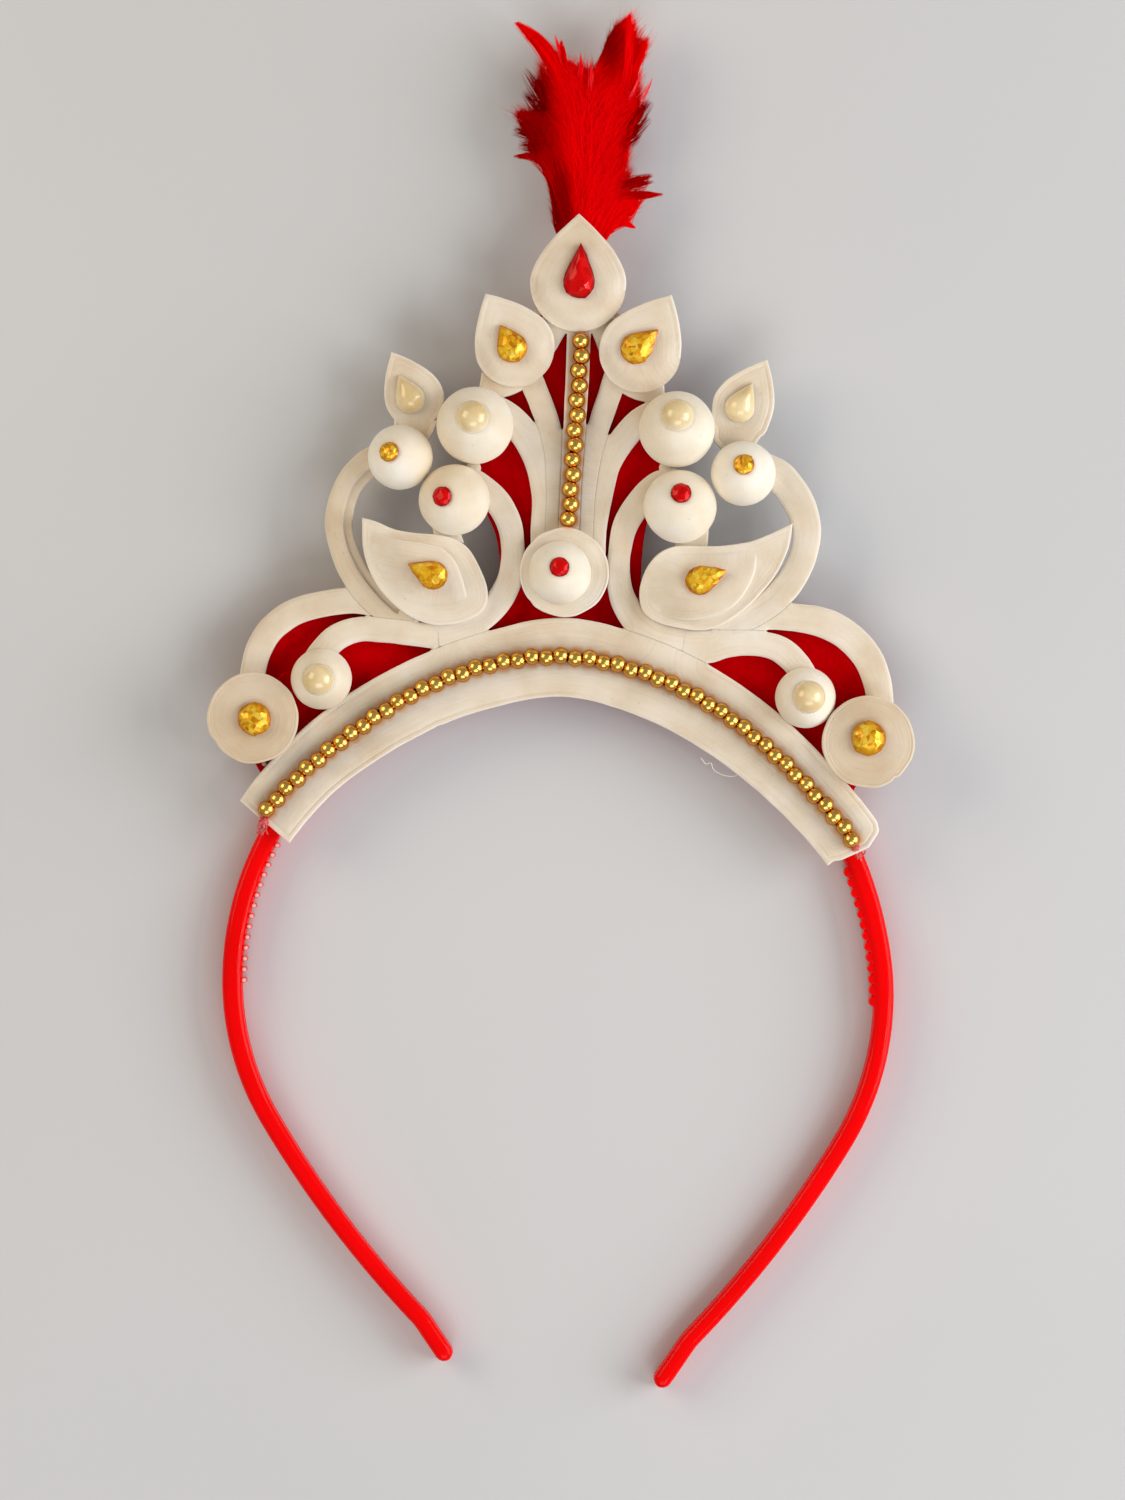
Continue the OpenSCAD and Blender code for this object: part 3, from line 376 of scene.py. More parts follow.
# Waves of the fibres: to a metre along them, to a millimetre across them
FIBRE_WAVES = (60.0, 2.6)
PAPER_TONES = ((0.34, 0.0, 0.001), (0.54, 0.0, 0.002), (0.64, 0.0, 0.002))
PLASTIC_TONES = ((0.84, 0.0, 0.0), (0.95, 0.0, 0.001))
# Pale tone of the painted highlight on the left teeth's tips
TOOTH_GLINT_TONE = (0.94, 0.5, 0.48)
# Pearl: two creams, and the painted pale sheen at its foot
NACRE_TONES = ((0.76, 0.58, 0.28), (0.88, 0.72, 0.42), (0.88, 0.80, 0.62))
COTTON_TONES = ((0.58, 0.03, 0.04), (0.84, 0.24, 0.22))
GOLD_DULL = (0.86, 0.78, 0.66)
DOWN_STREAK = (0.8, 0.6, 0.6)
FLOOR_TONES = ((0.60, 0.61, 0.63), (0.63, 0.64, 0.66))
# Stones: stops of their painted reflections, dark to bright, and the tone of their painted rim shade
AMBER_GLINT_STOPS = ((0.3, (0.36, 0.10, 0.002)), (0.42, (0.82, 0.36, 0.006)), (0.55, (0.96, 0.58, 0.02)),
               (0.68, (1.0, 0.80, 0.11)))
AMBER_RIM_SHADE = (0.50, 0.15, 0.003)
RED_GLINT_STOPS = ((0.3, (0.46, 0.0, 0.0)), (0.5, (0.70, 0.0, 0.0)), (0.66, (0.84, 0.0, 0.002)))
RED_RIM_SHADE = (0.26, 0.0, 0.0)
# Down from its painted shade, through scarlet, to its painted pink highlight
DOWN_STOPS = ((0.1, (0.03, 0.0, 0.0)), (0.3, (0.16, 0.0, 0.0)), (0.5, (0.44, 0.0, 0.0)),
              (0.74, (1.0, 0.0, 0.0)), (0.88, (1.0, 0.002, 0.006)), (1.0, (1.0, 0.12, 0.16)))
# Gold by height on a bead: painted shade and dark reflections on its lower side, bright gold on its top
GOLD_SHADE_STOPS = ((0.12, (0.16, 0.03, 0.003)), (0.42, (0.56, 0.19, 0.015)), (0.7, (0.92, 0.50, 0.09)),
              (0.95, (1.0, 0.64, 0.16)))
# Foils: name, stops of its painted reflections, tone of its painted rim shade, size of the cells in metres,
# their share, how metallic they are
FOILS = {
    "amber_stone": ("amber_foil", AMBER_GLINT_STOPS, AMBER_RIM_SHADE, 0.0008, 0.6, 0.25),
    "red_stone": ("red_foil", RED_GLINT_STOPS, RED_RIM_SHADE, 0.0012, 0.3, 0.1),
}
# Values of a cell between which the stops of its colours lie
FOIL_SPREAD = (0.15, 0.85)

# Stage: half the floor's width, and for each light its name, place, size, watts and colour
FLOOR_HALF = 3.0
LIGHTS = (
    ("key", (0.95, -0.02, 0.52), (0.85, 0.8), 9.0, (1.0, 0.985, 0.97)),
    ("fill", (-0.82, 0.40, 0.66), (0.7, 0.6), 4.5, (1.0, 0.83, 0.59)),
    ("front", (0.1, -0.85, 0.90), (0.9, 0.6), 4.4, (0.97, 0.98, 1.0)),
    ("glint", (0.52, -0.16, 0.86), (0.09, 0.09), 0.4, (1.0, 1.0, 1.0)),
)
SKY_TONE = (1.0, 0.98, 0.96)
SKY_STRENGTH = 0.3


# Reading the CAD

def node_mesh(name):
    """Welded corners in millimetres and triangles of a CAD node."""
    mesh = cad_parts[name].data
    mesh.calc_loop_triangles()
    corners = np.array([v.co for v in mesh.vertices]) / MM
    triangles = np.array([t.vertices for t in mesh.loop_triangles])
    points, place = np.unique(np.round(corners, WELD), axis=0, return_inverse=True)
    return points, place.ravel()[triangles]


def longest_chain(edges):
    """The longest closed loop of points from directed edges."""
    after = dict(edges)
    loops = []
    while after:
        loop = [next(iter(after))]
        while loop[-1] in after:
            loop.append(after.pop(loop[-1]))
        loops.append(loop[:-1])
    return max(loops, key=len)


def flat_loop(name, top=False):
    """Anticlockwise outline (x, y) of a CAD node's lowest or highest flat face."""
    points, triangles = node_mesh(name)
    z = points[:, 2].max() if top else points[:, 2].min()
    flat = triangles[np.all(abs(points[triangles][:, :, 2] - z) < FLAT, axis=1)]
    directed = {(int(t[i]), int(t[(i + 1) % 3])) for t in flat for i in range(3)}
    rim = sorted((a, b) for a, b in directed if (b, a) not in directed)
    loop = points[longest_chain(rim)][:, :2]
    x, y = loop[:, 0], loop[:, 1]
    area = np.sum(x * np.roll(y, -1) - y * np.roll(x, -1)) / 2
    return loop if area > 0 else loop[::-1]


def solids(name):
    """Centres of the separate solids of a CAD node."""
    points, triangles = node_mesh(name)
    label, last = np.arange(len(points)), None
    while not np.array_equal(label, last):
        last, label = label, label.copy()
        low = last[triangles].min(axis=1)
        for column in range(3):
            np.minimum.at(label, triangles[:, column], low)
    groups = [points[label == k] for k in np.unique(label)]
    return np.array([(g.min(axis=0) + g.max(axis=0)) / 2 for g in groups])


def mm_box(name):
    """Lowest and highest corner of a CAD node in millimetres."""
    low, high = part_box(name)
    return np.array(low) / MM, np.array(high) / MM


# Outlines

def unit(v):
    """Directions of unit length."""
    return v / np.maximum(np.linalg.norm(v, axis=-1, keepdims=True), 1e-9)


def turns(loop):
    """Degrees of turn at each corner of an outline."""
    a = loop - np.roll(loop, 1, axis=0)
    b = np.roll(loop, -1, axis=0) - loop
    cross = a[:, 0] * b[:, 1] - a[:, 1] * b[:, 0]
    return np.degrees(np.arctan2(cross, np.sum(a * b, axis=1)))


def through(p, closed=False):
    """A smooth curve through points."""
    if closed:
        p = np.vstack([p[-1:], p, p[:2]])
    else:
        p = np.vstack([2 * p[0] - p[1], p, 2 * p[-1] - p[-2]])
    t = np.arange(SPAN_STEPS)[:, None] / SPAN_STEPS
    spans = []
    for a, b, c, d in zip(p, p[1:], p[2:], p[3:]):
        curve = 2 * b + (c - a) * t + (2 * a - 5 * b + 4 * c - d) * t ** 2
        spans.append((curve + (3 * b - a - 3 * c + d) * t ** 3) / 2)
    return np.vstack(spans if closed else spans + [p[-2:-1]])


def evenly(p, step, closed=False):
    """The same curve with points a step apart, without its last point."""
    if closed:
        p = np.vstack([p, p[:1]])
    way = np.concatenate([[0], np.cumsum(np.linalg.norm(np.diff(p, axis=0), axis=1))])
    count = max(1, round(way[-1] / step))
    at = np.linspace(0, way[-1], count + 1)[:-1]
    return np.column_stack([np.interp(at, way, p[:, k]) for k in range(p.shape[1])])


def smooth_outline(loop, step=EDGE_STEP):
    """An outline with even points on smooth curves between its corners."""
    loop = loop[np.linalg.norm(loop - np.roll(loop, 1, axis=0), axis=1) > SHORTEST]
    corners = np.flatnonzero(abs(turns(loop)) > CORNER_TURN)
    if len(corners) == 0:
        return evenly(through(loop, closed=True), step, closed=True)
    loop = np.roll(loop, -corners[0], axis=0)
    corners = np.append(corners - corners[0], len(loop))
    loop = np.vstack([loop, loop[:1]])
    spans = [loop[a:b + 1] for a, b in zip(corners, corners[1:])]
    return np.vstack([evenly(through(span) if len(span) > 2 else span, step) for span in spans])


def inward(loop):
    """Unit directions into an anticlockwise outline."""
    d = unit(np.roll(loop, -1, axis=0) - np.roll(loop, 1, axis=0))
    return np.column_stack([-d[:, 1], d[:, 0]])


def wavy(p, scale, seed):
    """Slow noise between -1 and 1 at each point."""
    return np.array([noise.noise(Vector((x / scale, y / scale, seed))) for x, y in p[:, :2]])


def nearest_edge(points, loop, free=None):
    """Distance of each point from an outline's free edges, and the way to the nearest of them."""
    chosen = np.arange(len(loop)) if free is None or not free.any() else np.flatnonzero(free)
    a, b = loop[chosen], np.roll(loop, -1, axis=0)[chosen]
    d = b - a
    length = np.maximum(np.sum(d * d, axis=1), 1e-12)
    near, ways = [], []
    for block in np.array_split(points, max(1, len(points) // BLOCK)):
        to = block[:, None, :] - a[None]
        t = np.clip(np.sum(to * d[None], axis=2) / length, 0, 1)
        off = to - t[..., None] * d[None]
        reach = np.linalg.norm(off, axis=2)
        near.append(reach.min(axis=1))
        ways.append(-off[np.arange(len(block)), reach.argmin(axis=1)])
    return np.concatenate(near), np.concatenate(ways)


def nicked(loop, nicks):
    """An outline with small cuts and burrs left by the knife."""
    into = inward(loop)
    for x, y, depth, width in nicks:
        d = np.linalg.norm(loop - (x, y), axis=1)
        loop = loop + into * (depth * np.exp(-(d / width) ** 2))[:, None]
    return loop


def pulled(loop, pulls):
    """An outline with some of its corners moved."""
    for x, y, dx, dy, reach in pulls:
        near = np.clip(1 - np.linalg.norm(loop - (x, y), axis=1) / reach, 0, 1)
        loop = loop + near[:, None] * (dx, dy)
    return loop


def inside(points, loop):
    """Whether each point is inside an outline."""
    a, b = loop, np.roll(loop, -1, axis=0)
    x, y = points[:, :1], points[:, 1:2]
    spans = (a[:, 1] > y) != (b[:, 1] > y)
    rise = np.where(b[:, 1] == a[:, 1], 1e-12, b[:, 1] - a[:, 1])
    cross = (b[:, 0] - a[:, 0]) * (y - a[:, 1]) / rise + a[:, 0]
    return np.sum(spans & (x < cross), axis=1) % 2 == 1


# Sheets cut from an outline

def inner_points(loop, style):
    """Points inside a sheet's face: rings along its edge and its lines, and a grid in its middle."""
    rings = [style.edge[0] * share for share in EDGE_RINGS]
    rings = sorted(rings + [place + aside for place, _ in style.lines for aside in LINE_RINGS])
    sets = []
    for d in rings:
        ring = loop + d * inward(loop)
        ring = ring[inside(ring, loop)]
        if len(ring):
            sets.append(ring[nearest_edge(ring, loop)[0] > d - RING_SLACK])
    low, high = loop.min(axis=0), loop.max(axis=0)
    x = np.arange(low[0], high[0], GRID_STEP)
    y = np.arange(low[1], high[1], GRID_STEP * GRID_ROW)
    grid = np.array([(a + 0.5 * GRID_STEP * (j % 2), b) for j, b in enumerate(y) for a in x])
    grid = grid[inside(grid, loop)]
    if len(grid):
        sets.append(grid[nearest_edge(grid, loop)[0] > rings[-1] + GRID_ROOM])
    return np.vstack(sets)


def triangulated(loop, extra):
    """Points and triangles of a face, and where the outline's own points are among them."""
    points = [Vector(p) for p in np.vstack([loop, extra])]
    made = geometry.delaunay_2d_cdt(points, [], [list(range(len(loop)))], 1, 1e-5)
    coords = np.array([tuple(v) for v in made[0]])
    place = {old: new for new, olds in enumerate(made[3]) for old in olds}
    return coords, [list(f) for f in made[2]], [place[i] for i in range(len(loop))]


def soft_side(loop, style):
    """Which edges of an outline lie on its gently sloping side."""
    if style.soft is None:
        return np.zeros(len(loop), bool)
    heading = np.radians(style.soft[0])
    facing = -inward(loop) @ np.array([math.cos(heading), math.sin(heading)])
    for _ in range(SOFT_ROUNDS):
        facing = (np.roll(facing, 1) + facing + np.roll(facing, -1)) / 3
    return facing > SOFT_FACING


def fall(d, style):
    """How far the face lies below its full height, by the distance from its crisp edges."""
    width, depth = style.edge
    drop = depth * (1 - np.sqrt(1 - np.clip(1 - d / width, 0, 1) ** 2))
    for place, deep in style.lines:
        drop = drop + deep * np.exp(-((d - place) / LINE_HALF) ** 2)
    return drop - style.crown * (1 - np.exp(-d / CROWN_REACH))


def walls(loop, order, z_low, z_top, count, wobble):
    """Corners and faces of a sheet's cut side and flat back. The side starts at the corners in
    order, at the heights z_top, and its own corners are numbered from count."""
    out, n = inward(loop), len(loop)
    verts, faces, above = [], [], order
    for share, inset in WALL_RINGS:
        z = z_top + (z_low - z_top) * share
        stray = 0.5 * wobble * wavy(loop, WALL_WAVE[0], WALL_WAVE[1] * share)
        ring = loop + out * (inset + np.maximum(stray, 0))[:, None]
        below = list(range(count + len(verts), count + len(verts) + n))
        verts += [(x, y, h) for (x, y), h in zip(ring, z)]
        faces += [(below[i], below[(i + 1) % n], above[(i + 1) % n], above[i]) for i in range(n)]
        above = below
    return verts, faces + [tuple(reversed(above))]


def slab(loop, z_low, z_high, style, meets=False, joins=False):
    """Corners, faces and rim distances of a sheet: rounded edge, scored lines, cut side, back.
    Where its points meet another sheet it is cut square, with a fine seam unless it joins it."""
    free = np.full(len(loop), True) & np.logical_not(meets)
    stray = style.wobble * wavy(loop, *KNIFE_WAVE) * free
    loop = loop + inward(loop) * stray[:, None]
    coords, faces, order = triangulated(loop, inner_points(loop, style))
    both = free & np.roll(free, -1)
    soft = soft_side(loop, style)
    rim = nearest_edge(coords, loop, both & ~soft)[0]
    z = z_high - fall(rim, style)
    if soft.any():
        _, width, depth = style.soft
        near = np.clip(1 - nearest_edge(coords, loop, soft)[0] / width, 0, 1)
        z -= depth * (0.5 - 0.5 * np.cos(math.pi * near))
    z += style.waves * wavy(coords, *FACE_WAVE) * np.minimum(rim, 1)
    seams = ~both & np.logical_not(joins)
    if seams.any():
        z -= SEAM[1] * np.clip(1 - nearest_edge(coords, loop, seams)[0] / SEAM[0], 0, 1) ** 2
    verts = [(x, y, h) for (x, y), h in zip(coords, z)]
    more, sides = walls(loop, order, z_low - style.sink, z[order], len(verts), style.wobble)
    return verts + more, faces + sides, np.concatenate([rim, np.zeros(len(more))])


def drawn_together(name, loop, others):
    """An outline drawn halfway out to those that it meets, which of its points meet one, and which
    of them join without a seam."""
    out = -inward(loop)
    moved, meets, joins = loop.copy(), np.zeros(len(loop), bool), np.zeros(len(loop), bool)
    for other_name, other in others.items():
        joint = {name, other_name} in JOINTS
        reach = JOINT_REACH if joint else TOUCHING
        apart = np.maximum(other.min(axis=0) - loop.max(axis=0), loop.min(axis=0) - other.max(axis=0))
        if apart.max() > reach:
            continue
        gap, way = nearest_edge(loop, other)
        facing = np.sum(way * out, axis=1) > JOINT_FACING * gap
        near = (gap < reach) & (facing | (gap < JOINT_GAP))
        share = np.maximum(0.5 - CLEARANCE / np.maximum(gap, 1e-6), 0)
        moved[near] = (loop + share[:, None] * way)[near]
        meets |= near
        joins |= near & joint
    return moved, meets, joins


# Pieces

def in_scene(name, data):
    """A new object of the scene."""
    thing = bpy.data.objects.new(name, data)
    bpy.context.scene.collection.objects.link(thing)
    return thing


def make_piece(name, verts, faces, material, stands_for=(), sharp=40.0, marks=None):
    """A mesh piece in metres that rides on the body, from corners in millimetres."""
    mesh = bpy.data.meshes.new(name)
    mesh.from_pydata((np.array(verts, float) * MM).tolist(), [], faces)
    mesh.update()
    for label, values in (marks or {}).items():
        layer = mesh.attributes.new(label, "FLOAT", "POINT")
        layer.data.foreach_set("value", np.broadcast_to(values, len(verts)).astype(np.float32))
    mesh.materials.append(material)
    if sharp:
        mesh.shade_smooth()
        mesh.set_sharp_from_angle(angle=math.radians(sharp))
    piece = in_scene(name, mesh)
    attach(piece, "root")
    if stands_for:
        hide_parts(*stands_for)


def joined(parts):
    """One list of corners, faces and marks from several."""
    verts, faces, marks = [], [], []
    for v, f, m in parts:
        start = len(verts)
        verts += list(v)
        faces += [tuple(i + start for i in face) for face in f]
        marks += list(m)
    return verts, faces, marks


def glow_of(verts, beads):
    """How near each corner is to a string of beads, from 0 to 1."""
    points = np.array(verts)[:, :2]
    out = []
    for block in np.array_split(points, max(1, len(points) // BLOCK)):
        d = np.linalg.norm(block[:, None] - beads[None, :, :2], axis=2).min(axis=1)
        out.append(np.exp(-((np.maximum(d - GLOW_START, 0)) / GLOW_REACH) ** 2))
    return np.concatenate(out)


def sheet_names():
    """Every flat piece of pith with its style."""
    for kind, style in SHEETS.items():
        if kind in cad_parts:
            yield kind, style
        else:
            yield from ((f"{kind}_{side}", style) for side in SIDES)


def build_sheets(pith, beads):
    """Every flat piece of pith, from its CAD node's outline."""
    loops = {}
    for name, _ in sheet_names():
        loop = pulled(nicked(smooth_outline(flat_loop(name)), NICKS.get(name, ())), PULLS.get(name, ()))
        if name in LENGTHENED:
            end, further = LENGTHENED[name]
            loop[loop[:, 1] < end, 1] -= further
        loops[name] = loop
    level = {name: loops[name] for name, style in sheet_names() if style in LEVEL}
    for name, style in sheet_names():
        low, high = mm_box(name)
        others = {other: level[other] for other in level if other != name and name in level}
        loop, meets, joins = drawn_together(name, loops[name], others)
        chosen = STYLES[f"ridge_{name.split('_')[-1]}" if style == "ridge" else style]
        if name == "loop_outer_left":
            parts = ledged(name, loop, low[2], high[2], chosen, meets)
        else:
            parts = [slab(loop, low[2], high[2], chosen, meets, joins)]
        verts, faces, rim = joined(parts)
        marks = {"rim": rim, "glow": glow_of(verts, beads), "shade_tint": SHADE_TINTS.get(name, 0.0)}
        make_piece(f"{name}_pith", verts, faces, pith, (name,), marks=marks)


def ledged(name, lower, z_low, z_high, style, meets):
    """A strip in two layers, the upper one narrower along the strip's inner side."""
    upper = smooth_outline(flat_loop(name, top=True))
    reach = np.linalg.norm(upper[:, None] - lower[meets][None], axis=2)
    over = reach.min(axis=1) < LEDGE_REACH
    upper[over] = lower[meets][reach.argmin(axis=1)][over]
    below, above = (style._replace(edge=edge) for edge in LEDGE_EDGES)
    return [slab(lower, z_low, z_high - LEDGE_DEPTH, below, meets),
            slab(upper, z_high - UPPER_THICKNESS, z_high, above, over)]


def build_dabs(pith):
    """Paste between the sheets."""
    parts = []
    for x, y, top, radius in DABS:
        profile = [(radius * share, height) for share, height in DAB_SHAPE]
        parts.append((*turned(profile, np.array([x, y, top]), UP, TOOTH_STEPS), []))
    verts, faces, _ = joined(parts)
    make_piece("joint_paste", verts, faces, pith, marks={"rim": 1.0})


def build_backing(paper):
    """The red sheet behind the pierced pith."""
    low, high = mm_box("backing")
    loop = smooth_outline(flat_loop("backing"), 0.9)
    verts, faces, rim = slab(loop, low[2], high[2], STYLES["paper"])
    make_piece("backing_paper_sheet", verts, faces, paper, ("backing",),
               marks={"rim": rim})


# Round forms

def frame_of(axis):
    """Two unit directions square to an axis."""
    axis = unit(axis)
    side = unit(np.cross(axis, (0.0, 1.0, 0.0)))
    return side, np.cross(axis, side)


def circle(n, shift=0.0):
    """Points x, y on a circle of radius 1."""
    angle = 2 * math.pi * (np.arange(n) + shift) / n
    return np.column_stack([np.cos(angle), np.sin(angle)])


def bands(rows, n):
    """Faces between rows of n corners each, one row after another."""
    return [(a + i, a + (i + 1) % n, a + n + (i + 1) % n, a + n + i)
            for a in range(0, (rows - 1) * n, n) for i in range(n)]


def closed_bands(verts, n):
    """Faces between rows of n corners each, with a face on the first row and on the last."""
    ends = [tuple(reversed(range(n))), tuple(range(len(verts) - n, len(verts)))]
    return bands(len(verts) // n, n) + ends


def turned(profile, origin, axis, n, closed=True):
    """Corners and faces of a profile of (radius, height) turned about an axis in n steps."""
    ring = circle(n) @ np.array(frame_of(axis))
    verts = np.vstack([origin + height * axis + radius * ring for radius, height in profile])
    faces = [(a + (i + 1) % n, a + n + (i + 1) % n, a + n + i, a + i)
             for a in range(0, len(verts) - n, n) for i in range(n)]
    if closed:
        faces += [tuple(reversed(range(n))), tuple(range(len(verts) - n, len(verts)))]
    return verts, faces


def ball_place(name, lift):
    """Centre, radius and seat height of a ball."""
    low, high = mm_box(name)
    radius = (high[0] - low[0] + high[1] - low[1]) / 4
    centre = np.array([(low[0] + high[0]) / 2, (low[1] + high[1]) / 2, low[2] + lift * radius])
    return centre, radius, low[2]


def seat_of(name, centre):
    """Direction from a ball's centre to its stone, and the stone's base, height and radius."""
    points = node_mesh(name)[0]
    base = (points.min(axis=0) + points.max(axis=0)) / 2
    for _ in range(SEAT_ROUNDS):
        axis = unit(base - centre)
        along = (points - centre) @ axis
        base = points[along < along.min() + SEAT_SHARE * (along.max() - along.min())].mean(axis=0)
    across = np.linalg.norm(points - centre - np.outer(along, axis), axis=1)
    return axis, along.min(), along.max() - along.min(), across.max()


def build_ball(name, lift, stone, pith):
    """A carved ball, flat where it is glued and where its stone sits."""
    centre, radius, seat = ball_place(name, lift)
    axis, base, _, stone_r = seat_of(stone, centre)
    flat = math.asin(min(1, (stone_r + SEAT_ROOM) / radius))
    angles = np.linspace(flat, math.pi, BALL_ROWS)[:-1]
    profile = [(stone_r * 0.5, base - STONE_SUNK), (stone_r * 0.98, base - STONE_SUNK)]
    profile += [(radius * math.sin(a), radius * math.cos(a)) for a in angles]
    verts, faces = turned(profile, centre, axis, BALL_STEPS)
    uneven = np.array([sum(share * noise.noise(Vector(v / size)) for size, share in BALL_WAVES)
                       for v in verts])
    verts += (verts - centre) / radius * (BALL_UNEVEN * uneven)[:, None]
    verts[:, 2] = np.maximum(verts[:, 2], seat)
    make_piece(f"{name}_pith", verts, faces, pith, (name,), marks={"rim": BALL_RIM})


def build_half_pearl(name, ball, lift, nacre):
    """A half round pearl with a softly flattened top."""
    centre = ball_place(ball, lift)[0]
    axis, base, height, radius = seat_of(name, centre)
    profile = [(radius * math.cos(a), base + height * math.sin(a) ** PEARL_FULLNESS) for a in PEARL_RINGS]
    add_pearl(name, *turned(profile, centre, axis, PEARL_STEPS), nacre)


def add_pearl(name, verts, faces, nacre):
    """A pearl's piece, from rows of corners between its base and its top."""
    rim = np.repeat(np.sin(PEARL_RINGS), len(verts) // len(PEARL_RINGS))
    make_piece(f"{name}_nacre", verts, faces, nacre, (name,), sharp=50.0, marks={"rim": rim})


# Cut stones

def gem(full, half, z, height, rng):
    """Corners, faces and rim marks of a cut stone: a girdle of full, then rings of facets turned half
    a step from each other, and a small table. Every corner strays a little."""
    outlines = full, full, full, half, np.roll(full[::2], -1, axis=0), np.roll(half, -1, axis=0)
    verts, marks = [], []
    for outline, (size, share, rim) in zip(outlines, GEM_RINGS):
        stray = STONE_STRAY if 0.3 < share < 1 else 0.0
        moved = outline * size * (1 + rng.normal(0, stray, (len(outline), 1)))
        rise = share * (1 + rng.normal(0, 0.6 * stray, len(outline)))
        verts += [(x, y, z + min(h, 1.0) * height) for (x, y), h in zip(moved, rise)]
        marks += [rim] * len(outline)
    n, m = len(full), len(half)
    faces = [tuple(reversed(range(n)))] + bands(3, n)
    g, c, d, t = 2 * n, 3 * n, 3 * n + m, 3 * n + 2 * m
    for i in range(m):
        j = (i + 1) % m
        even, odd, after = g + 2 * i, g + 2 * i + 1, g + (2 * i + 2) % n
        faces += [(even, odd, c + i), (odd, after, c + i), (c + i, after, c + j)]
        faces += [(c + i, c + j, d + i), (d + i, c + j, d + j)]
        faces += [(d + i, d + j, t + i), (t + i, d + j, t + j)]
    faces.append(tuple(range(t, t + m)))
    return verts, faces, marks


def build_round_stone(name, axis, origin, height, radius, foils, rng):
    """A round stone on a seat."""
    full, half = radius * circle(2 * STONE_FACETS), radius * circle(STONE_FACETS, 0.5)
    verts, faces, rim = gem(full, half, 0, height, rng)
    side, other = frame_of(axis)
    verts = np.array(verts) @ np.array([side, other, axis]) + origin
    if np.dot(np.cross(side, other), axis) < 0:
        faces = [tuple(reversed(f)) for f in faces]
    add_gem(name, verts, faces, rim, foils)


def add_gem(name, verts, faces, rim, foils):
    """A cut stone's piece: red or amber by its name."""
    slot = "red_stone" if name in RED_STONES else "amber_stone"
    make_piece(f"{name}_gem", verts, faces, foils[slot], (name,), sharp=0, marks={"rim": rim})


def drop_place(name):
    """Round end's centre, direction of the tip, radius, reach, base height and height of a drop."""
    points = node_mesh(name)[0]
    low, high = points.min(axis=0), points.max(axis=0)
    flat = points[:, :2]
    middle = flat.mean(axis=0)
    tip = flat[np.argmax(np.linalg.norm(flat - middle, axis=1))]
    for _ in range(SEAT_ROUNDS):
        way = unit(tip - middle)
        across = np.array([-way[1], way[0]])
        spread = (flat - tip) @ across
        radius = (spread.max() - spread.min()) / 2
        back = ((flat - tip) @ way).min()
        middle = tip + way * (back + radius) + across * (spread.max() + spread.min()) / 2
    return middle, way, radius, np.linalg.norm(tip - middle), low[2], high[2] - low[2]


def drop_outline(radius, reach, count):
    """Outline of a drop along +X: two full flanks and a round end, count points in all."""
    t = np.linspace(0, 1, FLANK_POINTS)[:, None]
    start, full, end = (reach, 0), (DROP_FULLNESS * reach, radius), (0, radius)
    flank = (1 - t) ** 2 * start + 2 * t * (1 - t) * full + t ** 2 * end
    arc = math.pi / 2 + np.linspace(0, math.pi, ROUND_POINTS)[1:-1]
    curve = np.vstack([flank, radius * np.column_stack([np.cos(arc), np.sin(arc)]),
                       (flank * (1, -1))[::-1]])[:-1]
    total = evenly(curve, DROP_STEP, closed=True)
    return total[(np.arange(count) * len(total)) // count]


def placed(outline, middle, way):
    """An outline moved to its place, with its +X along a way."""
    return middle + outline[:, :1] * way + outline[:, 1:] * np.array([-way[1], way[0]])


def build_drop_stone(name, foils, rng):
    """A drop-shaped stone: facets round its girdle and a small drop-shaped table."""
    middle, way, radius, reach, z, height = drop_place(name)
    full = placed(drop_outline(radius, reach, 2 * DROP_FACETS), np.zeros(2), way)
    verts, faces, rim = gem(full, (full[1::2] + full[0::2]) / 2, z, height, rng)
    add_gem(name, np.array(verts) + (*middle, 0), faces, rim, foils)


def build_drop_pearl(name, nacre):
    """A smooth drop pearl with a rounded edge, softer towards its top."""
    middle, way, radius, reach, z, height = drop_place(name)
    outline = drop_outline(radius, reach, DROP_STEPS)
    verts = []
    for a in PEARL_RINGS:
        ring = placed(outline * math.cos(a), middle, way)
        verts += [(x, y, z + height * math.sin(a)) for x, y in ring]
        for _ in range(3):
            outline = (np.roll(outline, 1, axis=0) + 2 * outline + np.roll(outline, -1, axis=0)) / 4
    add_pearl(name, verts, closed_bands(verts, DROP_STEPS), nacre)


def build_seated_stone(name, ball, lift, foils, rng):
    """A round stone on a ball or dome."""
    centre = ball_place(ball, lift)[0]
    axis, base, height, radius = seat_of(name, centre)
    build_round_stone(name, axis, centre + base * axis, height, radius, foils, rng)


def build_stones(foils, nacre, rng):
    """Every stone and pearl, each on its ball, disc or leaf."""
    for side in SIDES:
        for ball, (lift, stone) in BALLS.items():
            names = f"{stone}_{side}", f"{ball}_{side}", lift
            if "pearl" in stone:
                build_half_pearl(*names, nacre)
            else:
                build_seated_stone(*names, foils, rng)
        build_drop_pearl(f"drop_pearl_{side}", nacre)
        for kind in ("mid_drop", "paisley_drop"):
            build_drop_stone(f"{kind}_{side}", foils, rng)
        low, high = mm_box(f"end_stone_{side}")
        origin = np.array([(low[0] + high[0]) / 2, (low[1] + high[1]) / 2, low[2]])
        build_round_stone(f"end_stone_{side}", UP, origin, high[2] - low[2], (high[0] - low[0]) / 2,
                          foils, rng)
    build_seated_stone("centre_stone", "centre_dome", 0.0, foils, rng)
    build_drop_stone("top_drop", foils, rng)


# Beads and threads

